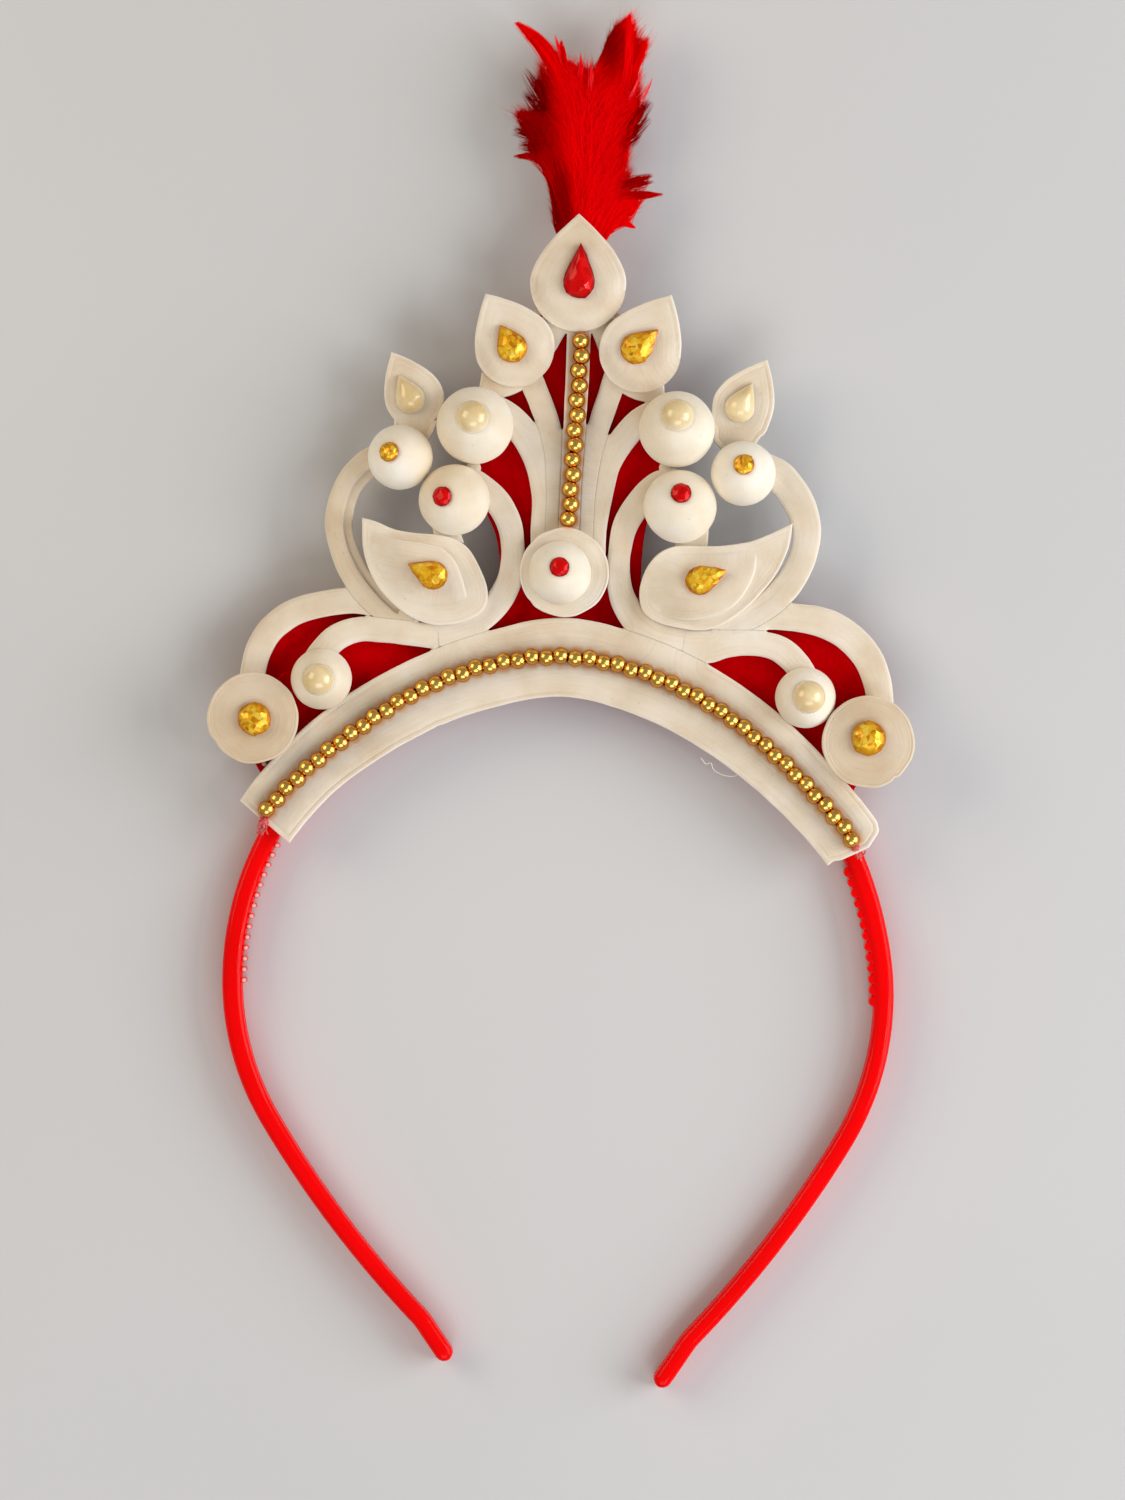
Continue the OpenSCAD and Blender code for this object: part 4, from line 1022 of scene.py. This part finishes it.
def bead_profile(length):
    """Radius and place along the bore of a drilled bead."""
    half = length / 2
    outer = [(math.sqrt(BEAD_R ** 2 - x ** 2), x) for x in np.linspace(-half, half, 9)]
    ends = [(outer[-1][0] - BEAD_RIM, half + BEAD_BULGE[0]), (BORE_R + BEAD_MOUTH, half + BEAD_BULGE[1]),
            (BORE_R, half - BEAD_MOUTH)]
    return outer + ends + [(r, -x) for r, x in reversed(ends)] + [outer[0]]


def build_bead_string(name, places, gold, rng):
    """Gold beads of one string, each a little off true and lying left and right by turns."""
    pitch = np.median(np.linalg.norm(np.diff(places, axis=0), axis=1))
    parts = []
    for i, (place, way) in enumerate(zip(places, np.gradient(places, axis=0))):
        way = unit(way)
        aside = np.array([-way[1], way[0], 0.0]) * BEAD_ZIGZAG * (-1) ** i
        way = unit(way + rng.normal(0, BEAD_LEAN, 3))
        size = 1 + rng.normal(0, BEAD_SIZES)
        profile = [(r * size, x * min(size, 1.0)) for r, x in bead_profile(pitch - BEAD_ROOM)]
        centre = place + aside + (0, 0, rng.normal(0, BEAD_RISE))
        verts, faces = turned(profile, centre, way, BEAD_STEPS, closed=False)
        # Height on the bead, which sets the gold's painted shade
        facing = (verts[:, 2] - centre[2]) / BEAD_R
        parts.append((verts, [tuple(reversed(f)) for f in faces], facing))
    verts, faces, facing = joined(parts)
    make_piece(f"{name}_gold", verts, faces, gold, (name,), sharp=50.0,
               marks={"facing": facing})


def tube(path, radii, sides=8, twist=0.0, lobes=0.0):
    """Corners and faces of a tube along a path; lobes give it the form of a two-ply thread."""
    ways = unit(np.gradient(path, axis=0))
    angle = 2 * math.pi * np.arange(sides) / sides
    verts = []
    for k, (p, way, r) in enumerate(zip(path, ways, radii)):
        side, other = frame_of(way)
        spin = angle + twist * k
        reach = r * (1 + lobes * np.cos(2 * angle))
        ring = p + (reach * np.cos(spin))[:, None] * side + (reach * np.sin(spin))[:, None] * other
        verts += ring.tolist()
    return verts, closed_bands(verts, sides)


def build_thread(name, beads, cotton):
    """The thread through a string of beads."""
    ends = [a + (a - b) * THREAD_END for a, b in ((beads[0], beads[1]), (beads[-1], beads[-2]))]
    route = evenly(through(np.vstack([ends[:1], beads, ends[1:]])), THREAD_STEP)
    verts, faces = tube(route, np.full(len(route), THREAD_R), twist=0.5, lobes=0.28)
    make_piece(f"{name}_cotton", verts, faces, cotton, (name,), sharp=0)


def build_tails(cotton, rng):
    """Loose ends of the arch's thread on the band."""
    for name, points in THREAD_TAILS.items():
        parts = []
        for _ in range(TAIL_STRANDS):
            spread = np.linspace(*TAIL_SPREAD, len(points))[:, None]
            strand = np.array(points) + rng.normal(0, 1, (len(points), 3)) * spread * TAIL_STRAY
            strand[-1, 2] = max(strand[-1, 2], BAND_H + TAIL_R[0])
            route = evenly(through(strand), TAIL_STEP)
            route = route[:int(len(route) * rng.uniform(*TAIL_LENGTH))]
            verts, faces = tube(route, np.linspace(*TAIL_R, len(route)), 6, twist=0.6, lobes=0.25)
            parts.append((verts, faces, []))
        verts, faces, _ = joined(parts)
        make_piece(name, verts, faces, cotton, sharp=0)


def build_strays(down, pith):
    """A barb and a fibre that have come loose."""
    for name, material, slot in (("stray_barb", down, "plume"), ("stray_fibre", pith, "pith")):
        route = evenly(through(np.array(STRAYS[name])), STRAY_STEP)
        verts, faces = tube(route, np.linspace(*STRAY_R, len(route)), 5)
        make_piece(name, verts, faces, material, sharp=0, marks={"tone": 0.8})


# Headband

def bend(place, radius, turn):
    """Place and heading after a bend."""
    x, y, heading = place
    a, b = math.radians(heading), math.radians(heading + turn)
    return (x + radius * (math.sin(b) - math.sin(a)), y - radius * (math.cos(b) - math.cos(a)),
            heading + turn)


def band_side(rows):
    """Places along one side of the band from its top, as left-hand points: x, y, heading, way."""
    place, way = (0.0, BAND_T / 2, 180.0), 0.0
    places = [(*place, way)]
    for share, turn in rows:
        radius = BAND_R * share
        length = abs(math.radians(turn) * radius)
        count = max(2, round(length / BAND_STEP), round(abs(turn) / BAND_TURN))
        for k in range(1, count + 1):
            places.append((*bend(place, radius, turn * k / count), way + length * k / count))
        place, way = places[-1][:3], places[-1][3]
    return np.array(places)


def half_thickness(y):
    """Half the band's thickness, which falls towards its tips."""
    fallen = np.clip((BAND_T / 2 - BAND_R - y) / BAND_TAPER, 0, 1)
    return (BAND_T - (BAND_T - BAND_TIP_T) * fallen) / 2


def band_section(half):
    """Section of the band about its mid line: rounded corners, and the mould's seam on both faces."""
    corner = min(BAND_CORNER, half * 0.8)
    points = []
    for cx, cz, start in ((1, 1, 0), (-1, 1, 90), (-1, -1, 180), (1, -1, 270)):
        for a in np.radians(np.linspace(start, start + 90, 6)):
            points.append((cx * (half - corner) + corner * math.cos(a),
                           cz * (BAND_H / 2 - corner) + corner * math.sin(a)))
        if start in (90, 270):
            points += [(cx * half, -cx * SEAM_HALF), (cx * (half + SEAM_RISE), 0.0),
                       (cx * half, cx * SEAM_HALF)]
    return np.array(points)


def band_stations():
    """Places of the whole band from its right tip to its left tip: x, y, outward x, outward y, size
    and half thickness."""
    sides = []
    for sign, rows in zip((1, -1), BAND_BENDS):
        places = [(x, y, math.radians(heading), 1.0) for x, y, heading, _ in band_side(rows)]
        x, y, heading, _ = places[-1]
        for a in np.radians(TIP_ANGLES):
            ahead = half_thickness(y) * math.sin(a)
            places.append((x + ahead * math.cos(heading), y + ahead * math.sin(heading), heading,
                           math.cos(a)))
        sides.append([(sign * x, y, sign * math.sin(h), -math.cos(h), size, half_thickness(y))
                      for x, y, h, size in places])
    left, right = sides
    return right[:0:-1] + left


def build_headband(plastic):
    """The moulded band with rounded tips, and its comb teeth."""
    sections = []
    for x, y, ox, oy, size, half in band_stations():
        section = band_section(half)
        across = section[:, 0] * size
        tall = TIP_HEIGHT[0] + TIP_HEIGHT[1] * size if size < 1 else 1.0
        up = BAND_H / 2 + section[:, 1] * tall
        sections.append(np.column_stack([x + across * ox, y + across * oy, up]))
    verts = np.vstack(sections)
    faces = closed_bands(verts, len(sections[0]))
    make_piece("headband_moulding", verts, faces, plastic, ("headband",), sharp=60.0)
    # The tip mark paints a pale highlight on the tips of the left teeth
    verts, faces, tips = joined(tooth_parts())
    make_piece("headband_teeth", verts, faces, plastic, ("headband",), sharp=60.0,
               marks={"tip": tips})


def tooth_parts():
    """Rounded comb teeth on the inner face, from just under the arch downwards."""
    parts = []
    for sign, rows, tooth in zip((1, -1), BAND_BENDS, TEETH):
        radius, corner, low = tooth.radius, tooth.corner, TOOTH_FOOT
        turn = np.radians(np.linspace(-90, 0, len(tooth.pale)))
        profile = [(radius - corner * (1 - math.cos(a)), low + corner * (1 + math.sin(a))) for a in turn]
        profile += [(r, tooth.top + low - z) for r, z in profile[::-1]]
        profile = [(max(r, 0.05), z) for r, z in profile]
        places = band_side(rows)
        for i in range(tooth.count):
            way = tooth.start + tooth.pitch * i
            x, y, heading = (np.interp(way, places[:, 3], places[:, k]) for k in range(3))
            h = math.radians(heading)
            inner = BAND_T / 2 + tooth.reach - radius
            origin = np.array([sign * (x - inner * math.sin(h)), y + inner * math.cos(h), 0.0])
            verts, faces = turned(profile, origin, UP, TOOTH_STEPS)
            parts.append((verts, faces, np.repeat((0.0,) * len(turn) + tooth.pale, TOOTH_STEPS)))
    return parts


# Plume

def quill_x(y):
    """Where the quill lies at each height."""
    rows = np.array(QUILL, float)
    return np.interp(y, rows[:, 1], rows[:, 0])


def curved(start, middle, end):
    """Points along many arcs, one for each station of a barb."""
    w = np.linspace(0, 1, len(BARB_TAPER))[None, :, None]
    start, middle, end = (p[:, None, :] for p in (start, middle, end))
    return (1 - w) ** 2 * start + 2 * w * (1 - w) * middle + w ** 2 * end


def shade_at(x, y):
    """How bright the plume is at each place."""
    light = np.ones(x.shape)
    for cx, cy, wide, tall, lost in SHADES:
        light *= 1 - lost * np.exp(-(((x - cx) / wide) ** 2 + ((y - cy) / tall) ** 2) ** 1.5)
    return light


def rising(end, rng):
    """Paths from the quill to the ends given, each by its own bend."""
    n = len(end)
    lean = abs(end[:, 0] - quill_x(end[:, 1]))
    below = rng.uniform(*ROOT_BELOW, n)
    root_y = np.clip(end[:, 1] - below - rng.uniform(*ROOT_ASIDE, n) * lean, *BARB_ROOTS)
    root = np.column_stack([quill_x(root_y) + rng.normal(0, ROOT_STRAY[0], n), root_y,
                            PLUME_Z + rng.normal(0, ROOT_STRAY[1], n)])
    across, along = rng.uniform(*BEND_X, n), rng.uniform(*BEND_Y, n)
    middle = root + (end - root) * np.column_stack([across, along, np.full(n, BEND_Z)])
    return curved(root, middle, end)


def edge_barbs(edge, rng):
    """Fine barbs whose tips stand a little way out of the plume's edge."""
    rim = evenly(edge, 0.05, closed=True)
    foot = rim[rng.integers(0, len(rim), EDGE_BARBS * 2)]
    foot = foot[foot[:, 1] > EDGE_FOOT]
    n = len(foot)
    low = foot[:, 1] - EDGE_RISE
    flow = unit(foot - np.column_stack([quill_x(low), low])) + rng.normal(0, EDGE_STRAY, (n, 2))
    tip = foot + flow * abs(rng.normal(0, EDGE_REACH, (n, 1)))
    root = foot - flow * rng.uniform(*EDGE_LENGTH, (n, 1))
    middle = (foot + root) / 2 + rng.normal(0, EDGE_STRAY, (n, 2))
    z = PLUME_Z + rng.normal(0, EDGE_DEPTH, (3, n))
    paths = curved(*(np.column_stack([p, h]) for p, h in zip((root, middle, tip), z)))
    paths = paths[inside(root, edge) & inside(middle, edge)][:EDGE_BARBS]
    return paths, rng.uniform(*EDGE_LIGHT, len(paths)), np.full(len(paths), EDGE_SHARE)


def dense_barbs(edge, rng):
    """Barbs that rise along the quill and bend out to tips all over the plume's dense part, and stay
    inside its edge on the way."""
    tips = rng.uniform(edge.min(axis=0), edge.max(axis=0), (PLUME_BARBS * 3, 2))
    tips = tips[inside(tips, edge)][:PLUME_BARBS]
    n = len(tips)
    rise = PLUME_RISE * np.sqrt(np.minimum(1, nearest_edge(tips, edge)[0] / THICK_FROM))
    on_face = rng.random(n) < FACE_SHARE
    level = np.where(on_face, rng.normal(*FACE_LEVEL, n), rng.uniform(*INNER_LEVEL, n))
    end = np.column_stack([tips, PLUME_Z + rise * level])
    paths = np.zeros((n, len(BARB_TAPER), 3))
    left = np.arange(n)
    for _ in range(PLUME_TRIES):
        paths[left] = rising(end[left], rng)
        kept = inside(paths[left][:, 1:, :2].reshape(-1, 2), edge).reshape(len(left), -1).all(axis=1)
        left = left[~kept]
    paths = np.delete(paths, left, axis=0)
    return paths, rng.uniform(*DENSE_LIGHT, len(paths)), np.ones(len(paths))


def wisp_barbs(row, rng):
    """Barbs that run together to one tip."""
    x0, y0, x1, y1, height, bow, wide, narrow, count, bright = row
    root, tip = np.array([x0, y0, PLUME_Z + WISP_LIFT]), np.array([x1, y1, height])
    way = unit(tip - root)
    across = np.array([way[1], -way[0], 0.0])
    start = rng.uniform(*WISP_STARTS, count)
    stop = rng.uniform(*WISP_STOPS, count) ** 0.5
    t = start[:, None] + (stop - start)[:, None] * np.linspace(0, 1, len(BARB_TAPER))[None]
    spread = narrow + (wide - narrow) * np.clip(np.sin(math.pi * (0.25 + 0.75 * t)), 0, 1)
    spine = root + t[..., None] * (tip - root) + (2 * bow * t * (1 - t))[..., None] * across
    off = rng.normal(0, WISP_SPREAD, (count, 1)) * spread + rng.normal(0, WISP_STRAY, t.shape)
    up = rng.normal(0, WISP_SPREAD, (count, 1)) * spread
    paths = spine + off[..., None] * across + up[..., None] * UP
    return paths, bright * rng.uniform(*WISP_LIGHT, count), np.full(count, WISP_SHARE)


def barb_mesh(paths, tones, sizes):
    """Three-sided hairs along many paths, each closed at its root and drawn to a point."""
    count, points = paths.shape[:2]
    ways = unit(np.gradient(paths, axis=1))
    side = unit(np.cross(ways, UP))
    down = np.cross(ways, side)
    radius = BARB_R * sizes[:, None, None] * np.array(BARB_TAPER)[None, :, None]
    rings = [paths + radius * (a * side + b * down) for a, b in BARB_SECTION]
    verts = np.stack(rings, axis=2).reshape(-1, 3)
    start = np.arange(count)[:, None] * points * 3
    last = start + 3 * points
    quads = (np.array(bands(points, 3))[:, None] + start).reshape(-1, 4)
    ends = np.vstack([start + (2, 1, 0), last - (3, 2, 1)])
    return verts, quads.tolist() + ends.tolist(), np.repeat(tones.ravel(), 3)


def build_plume(down, rng):
    """The tuft of barbs, in parts that lie through each other, and the quill that it grows from."""
    edge = np.array(PLUME_EDGE, float)
    sets = [dense_barbs(edge, rng), edge_barbs(edge, rng)] + [wisp_barbs(row, rng) for row in WISPS]
    paths, tones, sizes = (np.concatenate(column) for column in zip(*sets))
    plain = len(sets[0][0]) + len(sets[1][0])
    tones = np.repeat(tones[:, None], paths.shape[1], axis=1)
    tones[:plain] *= shade_at(paths[:plain, :, 0], paths[:plain, :, 1])
    paths[..., 1] += PLUME_Y
    order = rng.permutation(len(paths))
    for k in range(PLUME_PARTS):
        chosen = order[k::PLUME_PARTS]
        verts, faces, tone = barb_mesh(paths[chosen], tones[chosen], sizes[chosen])
        make_piece(f"plume_barbs_{k + 1}", verts, faces, down, ("feather",), sharp=0,
                   marks={"tone": tone})
    route = evenly(through(np.array(QUILL, float) + (0, PLUME_Y, 0)), 1.0)
    verts, faces = tube(route, np.linspace(*QUILL_R, len(route)), 10)
    make_piece("plume_quill", verts, faces, down, marks={"tone": 0.6})


# Materials

def feed(socket, source):
    """Links a socket to another one, or gives it a value."""
    if isinstance(source, bpy.types.NodeSocket):
        socket.id_data.links.new(source, socket)
    elif socket.type == "RGBA":
        socket.default_value = (*source, 1.0)
    else:
        socket.default_value = source


def put(node, **values):
    """A node with its settings, and with values or links for its sockets."""
    for key, value in values.items():
        if hasattr(node, key):
            setattr(node, key, value)
        else:
            feed(node.inputs[key.replace("_", " ")], value)
    return node


def add(tree, kind, **values):
    """A new node of a tree."""
    return put(tree.nodes.new("ShaderNode" + kind), **values)


def new_material(name):
    """A material, its nodes and its shader."""
    material = bpy.data.materials.new(name)
    material.use_nodes = True
    return material, material.node_tree, material.node_tree.nodes["Principled BSDF"]


def ramp(source, *stops):
    """The colours of the stops by a value."""
    node = add(source.id_data, "ValToRGB", Fac=source)
    ends = node.color_ramp.elements
    while len(ends) < len(stops):
        ends.new(0.5)
    for element, (place, colour) in zip(ends, stops):
        element.position = place
        element.color = (*colour, 1.0)
    return node.outputs["Color"]


def mixed(tree, factor, first, second, blend="MIX"):
    """A mix of two colours by a factor."""
    node = add(tree, "Mix", data_type="RGBA", blend_type=blend)
    for place, source in ((0, factor), (6, first), (7, second)):
        feed(node.inputs[place], source)
    return node.outputs[2]


def object_place(tree):
    """Places in the object's own space, in metres."""
    return add(tree, "TexCoord").outputs["Object"]


def object_noise(tree, scale, detail=3.0, stretch=(1.0, 1.0, 1.0)):
    """Noise in the object's own space, scale waves to a metre."""
    place = add(tree, "Mapping", Vector=object_place(tree), Scale=stretch).outputs["Vector"]
    return add(tree, "TexNoise", Vector=place, Scale=scale, Detail=detail).outputs["Fac"]


def two_tones(tree, scale, detail, dark, pale, low=0.3, high=0.7):
    """Noise in the object's own space, and a colour between two tones by it."""
    source = object_noise(tree, scale, detail)
    return source, ramp(source, (low, dark), (high, pale))


def mark(tree, name):
    """The value of one of a mesh's own marks."""
    return add(tree, "Attribute", attribute_name=name).outputs["Fac"]


def times(source, factor):
    """A value times a number."""
    node = add(source.id_data, "Math", operation="MULTIPLY", Value=source)
    node.inputs[1].default_value = factor
    return node.outputs[0]


def between(source, low, high):
    """A value between two numbers by a noise."""
    return add(source.id_data, "MapRange", Value=source, To_Min=low, To_Max=high).outputs["Result"]


def bump(height, strength, distance, **under):
    """The direction of a surface with fine relief of a height."""
    node = add(height.id_data, "Bump", Height=height, Strength=strength, Distance=distance, **under)
    return node.outputs["Normal"]


def fibre_noise(tree):
    """Fine lines that follow the cut edge, from the rim distance and slow noise across the face."""
    along, across = FIBRE_WAVES
    split = add(tree, "SeparateXYZ", Vector=object_place(tree)).outputs
    join = add(tree, "CombineXYZ", X=times(mark(tree, "rim"), across), Y=times(split["X"], along),
               Z=times(split["Y"], along))
    lines = add(tree, "TexNoise", Vector=join.outputs[0], Scale=1.0, Detail=4.0, Roughness=0.62)
    return lines.outputs["Fac"]


def pith_material(name, tones):
    """Shola pith: matt, finely fibrous, with a painted highlight along its cut rim, painted brown shade on
    some pieces, and warm light near the gold beads.
    """
    material, tree, shader = new_material(name)
    fibres = fibre_noise(tree)
    base = ramp(object_noise(tree, 90.0, 4.0), *zip((0.3, 0.52, 0.75), tones))
    lines = ramp(fibres, (0.28, FIBRE_TONE), (0.5, WHITE))
    # Painted highlight: the pith is paler along its free cut rims
    rim_highlight = ramp(mark(tree, "rim"), (0.0, (0.7, 0.7, 0.7)), (0.4, BLACK))
    specks = ramp(object_noise(tree, 900.0, 2.0), (0.2, SPECK_TONE), (0.29, WHITE))
    colour = mixed(tree, 0.4, base, lines, "MULTIPLY")
    colour = mixed(tree, rim_highlight, colour, tones[-1])
    # Painted shade: marked pieces are darkened towards brown
    colour = mixed(tree, mark(tree, "shade_tint"), colour, PITH_SHADE_BROWN, "MULTIPLY")
    colour = mixed(tree, mark(tree, "glow"), colour, PITH_GLOW, "MULTIPLY")
    grain = bump(object_noise(tree, 1500.0), 0.2, 0.0002)
    put(shader, Base_Color=mixed(tree, 0.35, colour, specks, "MULTIPLY"), Roughness=0.68,
        Specular_IOR_Level=0.3, Sheen_Weight=0.1, Subsurface_Weight=0.2, Subsurface_Scale=0.0012,
        Subsurface_Radius=(1.0, 0.75, 0.5), Normal=bump(fibres, 0.32, 0.0003, Normal=grain))
    return material


def paper_material():
    """Red velvet paper: deep red with a soft nap."""
    material, tree, shader = new_material("red_velvet_paper")
    nap, fine = two_tones(tree, 700.0, 4.0, *PAPER_TONES[:2])
    colour = mixed(tree, object_noise(tree, 25.0, 2.0), fine, PAPER_TONES[2])
    put(shader, Base_Color=colour, Roughness=0.85, Specular_IOR_Level=0.0,
        Normal=bump(nap, 0.4, 0.0002))
    return material


def plastic_material():
    """Glossy red moulded plastic with faint flow marks and fine scratches, and painted pale highlights on
    the tips of the left comb teeth.
    """
    material, tree, shader = new_material("red_gloss_plastic")
    flow, colour = two_tones(tree, 60.0, 3.0, *PLASTIC_TONES)
    put(shader, Base_Color=mixed(tree, mark(tree, "tip"), colour, TOOTH_GLINT_TONE),
        Roughness=between(object_noise(tree, 400.0, 5.0), 0.14, 0.26), Specular_IOR_Level=0.05,
        Coat_Weight=0.12, Coat_Roughness=0.05, Normal=bump(flow, 0.12, 0.0003))
    return material


def foil_material(name, stops, rim_shade, cell_size, cell_share, metal):
    """A foil-backed stone: painted reflections by the way each facet faces and by the cells of its crumpled
    foil, painted shade towards its rim."""
    material, tree, shader = new_material(name)
    # Painted reflections: the tone changes with the way each facet faces
    facing = add(tree, "NewGeometry").outputs["True Normal"]
    facets = add(tree, "TexNoise", Vector=facing, Scale=2.7, Detail=0.0).outputs["Fac"]
    # Painted reflections of the crumpled foil, cell by cell
    cells = add(tree, "TexVoronoi", Vector=object_place(tree), Scale=1.0 / cell_size).outputs["Color"]
    places = np.linspace(*FOIL_SPREAD, len(stops)).tolist()
    crumpled = ramp(cells, *zip(places, (tone for _, tone in stops)))
    body = mixed(tree, cell_share, ramp(facets, *stops), crumpled)
    # Painted shade towards the stone's rim
    inner = ramp(mark(tree, "rim"), (0.05, BLACK), (0.55, WHITE))
    put(shader, Base_Color=mixed(tree, inner, rim_shade, body), Metallic=metal, Roughness=0.18,
        Specular_IOR_Level=0.1, Coat_Weight=0.2, Coat_Roughness=0.03)
    return material


def nacre_material():
    """Pearl: warm cream, with a painted pale sheen towards its foot, and a hard gloss."""
    material, tree, shader = new_material("nacre")
    slow, cream = two_tones(tree, 260.0, 2.0, *NACRE_TONES[:2], 0.35, 0.65)
    # Painted sheen: paler towards the pearl's foot
    height = ramp(mark(tree, "rim"), (0.0, BLACK), (0.6, WHITE))
    put(shader, Base_Color=mixed(tree, height, NACRE_TONES[2], cream), Roughness=0.25, Coat_Weight=1.0,
        Coat_Roughness=0.04, Subsurface_Weight=0.1, Subsurface_Scale=0.0008,
        Normal=bump(slow, 0.1, 0.0002))
    return material


def gold_material():
    """Gold-plated bead with a slightly uneven polish, with painted shade and dark reflections that turn it
    brown on its lower side, where it turns down to the pith.
    """
    material, tree, shader = new_material("gold_plate")
    slow, uneven = two_tones(tree, 500.0, 3.0, GOLD_DULL, WHITE)
    colour = mixed(tree, 0.8, ramp(mark(tree, "facing"), *GOLD_SHADE_STOPS), uneven, "MULTIPLY")
    put(shader, Base_Color=colour, Metallic=1.0, Roughness=between(slow, 0.17, 0.27),
        Normal=bump(slow, 0.1, 0.0002))
    return material


def cotton_material():
    """Waxed cotton, red and pink from the dye beside it."""
    material, tree, shader = new_material("waxed_cotton")
    slow, colour = two_tones(tree, 1500.0, 3.0, *COTTON_TONES)
    put(shader, Base_Color=colour, Roughness=0.5, Normal=bump(slow, 0.3, 0.0001))
    return material


def down_material():
    """Dyed down: bright scarlet, dark where it lies in shade, pink where a barb shines."""
    material, tree, shader = new_material("scarlet_down")
    tone = ramp(times(mark(tree, "tone"), 0.8), *DOWN_STOPS)
    streaks = ramp(object_noise(tree, 420.0, 3.0, (1.0, 0.12, 1.0)), (0.3, DOWN_STREAK), (0.6, WHITE))
    put(shader, Base_Color=mixed(tree, 0.6, tone, streaks, "MULTIPLY"), Roughness=0.7,
        Specular_IOR_Level=0.0, Normal=bump(object_noise(tree, 2500.0, 2.0), 0.2, 0.0001))
    return material


def floor_material():
    """Plain pale floor."""
    material, tree, shader = new_material("pale_floor")
    _, colour = two_tones(tree, 6.0, 2.0, *FLOOR_TONES)
    put(shader, Base_Color=colour, Roughness=0.9, Specular_IOR_Level=0.1)
    return material


# Stage

def build_floor():
    """A wide floor under the crown."""
    mesh = bpy.data.meshes.new("floor")
    h = FLOOR_HALF
    mesh.from_pydata([(-h, -h, 0), (h, -h, 0), (h, h, 0), (-h, h, 0)], [], [(0, 1, 2, 3)])
    mesh.materials.append(floor_material())
    in_scene("floor", mesh)


def build_camera():
    """Straight above the crown, with the photograph's frame at the height of its face."""
    data = bpy.data.cameras.new("camera")
    data.sensor_width = SENSOR
    data.lens = SENSOR * CAMERA_DISTANCE / VIEW_HEIGHT
    camera = in_scene("camera", data)
    x, y, z = VIEW_CENTRE
    camera.location = Vector((x, y, z + CAMERA_DISTANCE)) * MM
    bpy.context.scene.camera = camera


def build_lights():
    """Soft studio light from low on all sides, strongest from the right."""
    for name, place, size, power, colour in LIGHTS:
        data = bpy.data.lights.new(name, "AREA")
        data.shape = "RECTANGLE"
        data.size, data.size_y = size
        data.energy = power
        data.color = colour
        light = in_scene(name, data)
        light.location = place
        light.rotation_euler = (-Vector(place)).to_track_quat("-Z", "Y").to_euler()
    world = bpy.data.worlds.new("studio")
    bpy.context.scene.world = world
    world.use_nodes = True
    put(world.node_tree.nodes["Background"], Color=SKY_TONE, Strength=SKY_STRENGTH)
    bpy.context.scene.view_settings.view_transform = "Standard"


def build_all():
    """Every piece of the crown, in an order that the random draws depend on."""
    rng = np.random.default_rng(SEED)
    sheet_pith, lit_ball_pith = (pith_material(*row) for row in PITHS)
    nacre, cotton, down = nacre_material(), cotton_material(), down_material()
    foils = {slot: foil_material(*row) for slot, row in FOILS.items()}
    strings = {}
    for name, column in (("arch", 0), ("post", 1)):
        places = solids(f"{name}_beads")
        strings[name] = places[np.argsort(places[:, column])]
    build_sheets(sheet_pith, np.vstack(list(strings.values())))
    build_dabs(sheet_pith)
    build_backing(paper_material())
    for ball, (lift, stone) in BALLS.items():
        for side in SIDES:
            build_ball(f"{ball}_{side}", lift, f"{stone}_{side}", lit_ball_pith)
    build_ball("centre_dome", 0.0, "centre_stone", lit_ball_pith)
    build_stones(foils, nacre, rng)
    gold = gold_material()
    for name, places in strings.items():
        build_bead_string(f"{name}_beads", places, gold, rng)
    for name, places in strings.items():
        build_thread(f"{name}_thread", places, cotton)
    build_tails(cotton, rng)
    build_strays(down, sheet_pith)
    build_headband(plastic_material())
    build_plume(down, rng)


build_all()
build_floor()
build_lights()
build_camera()
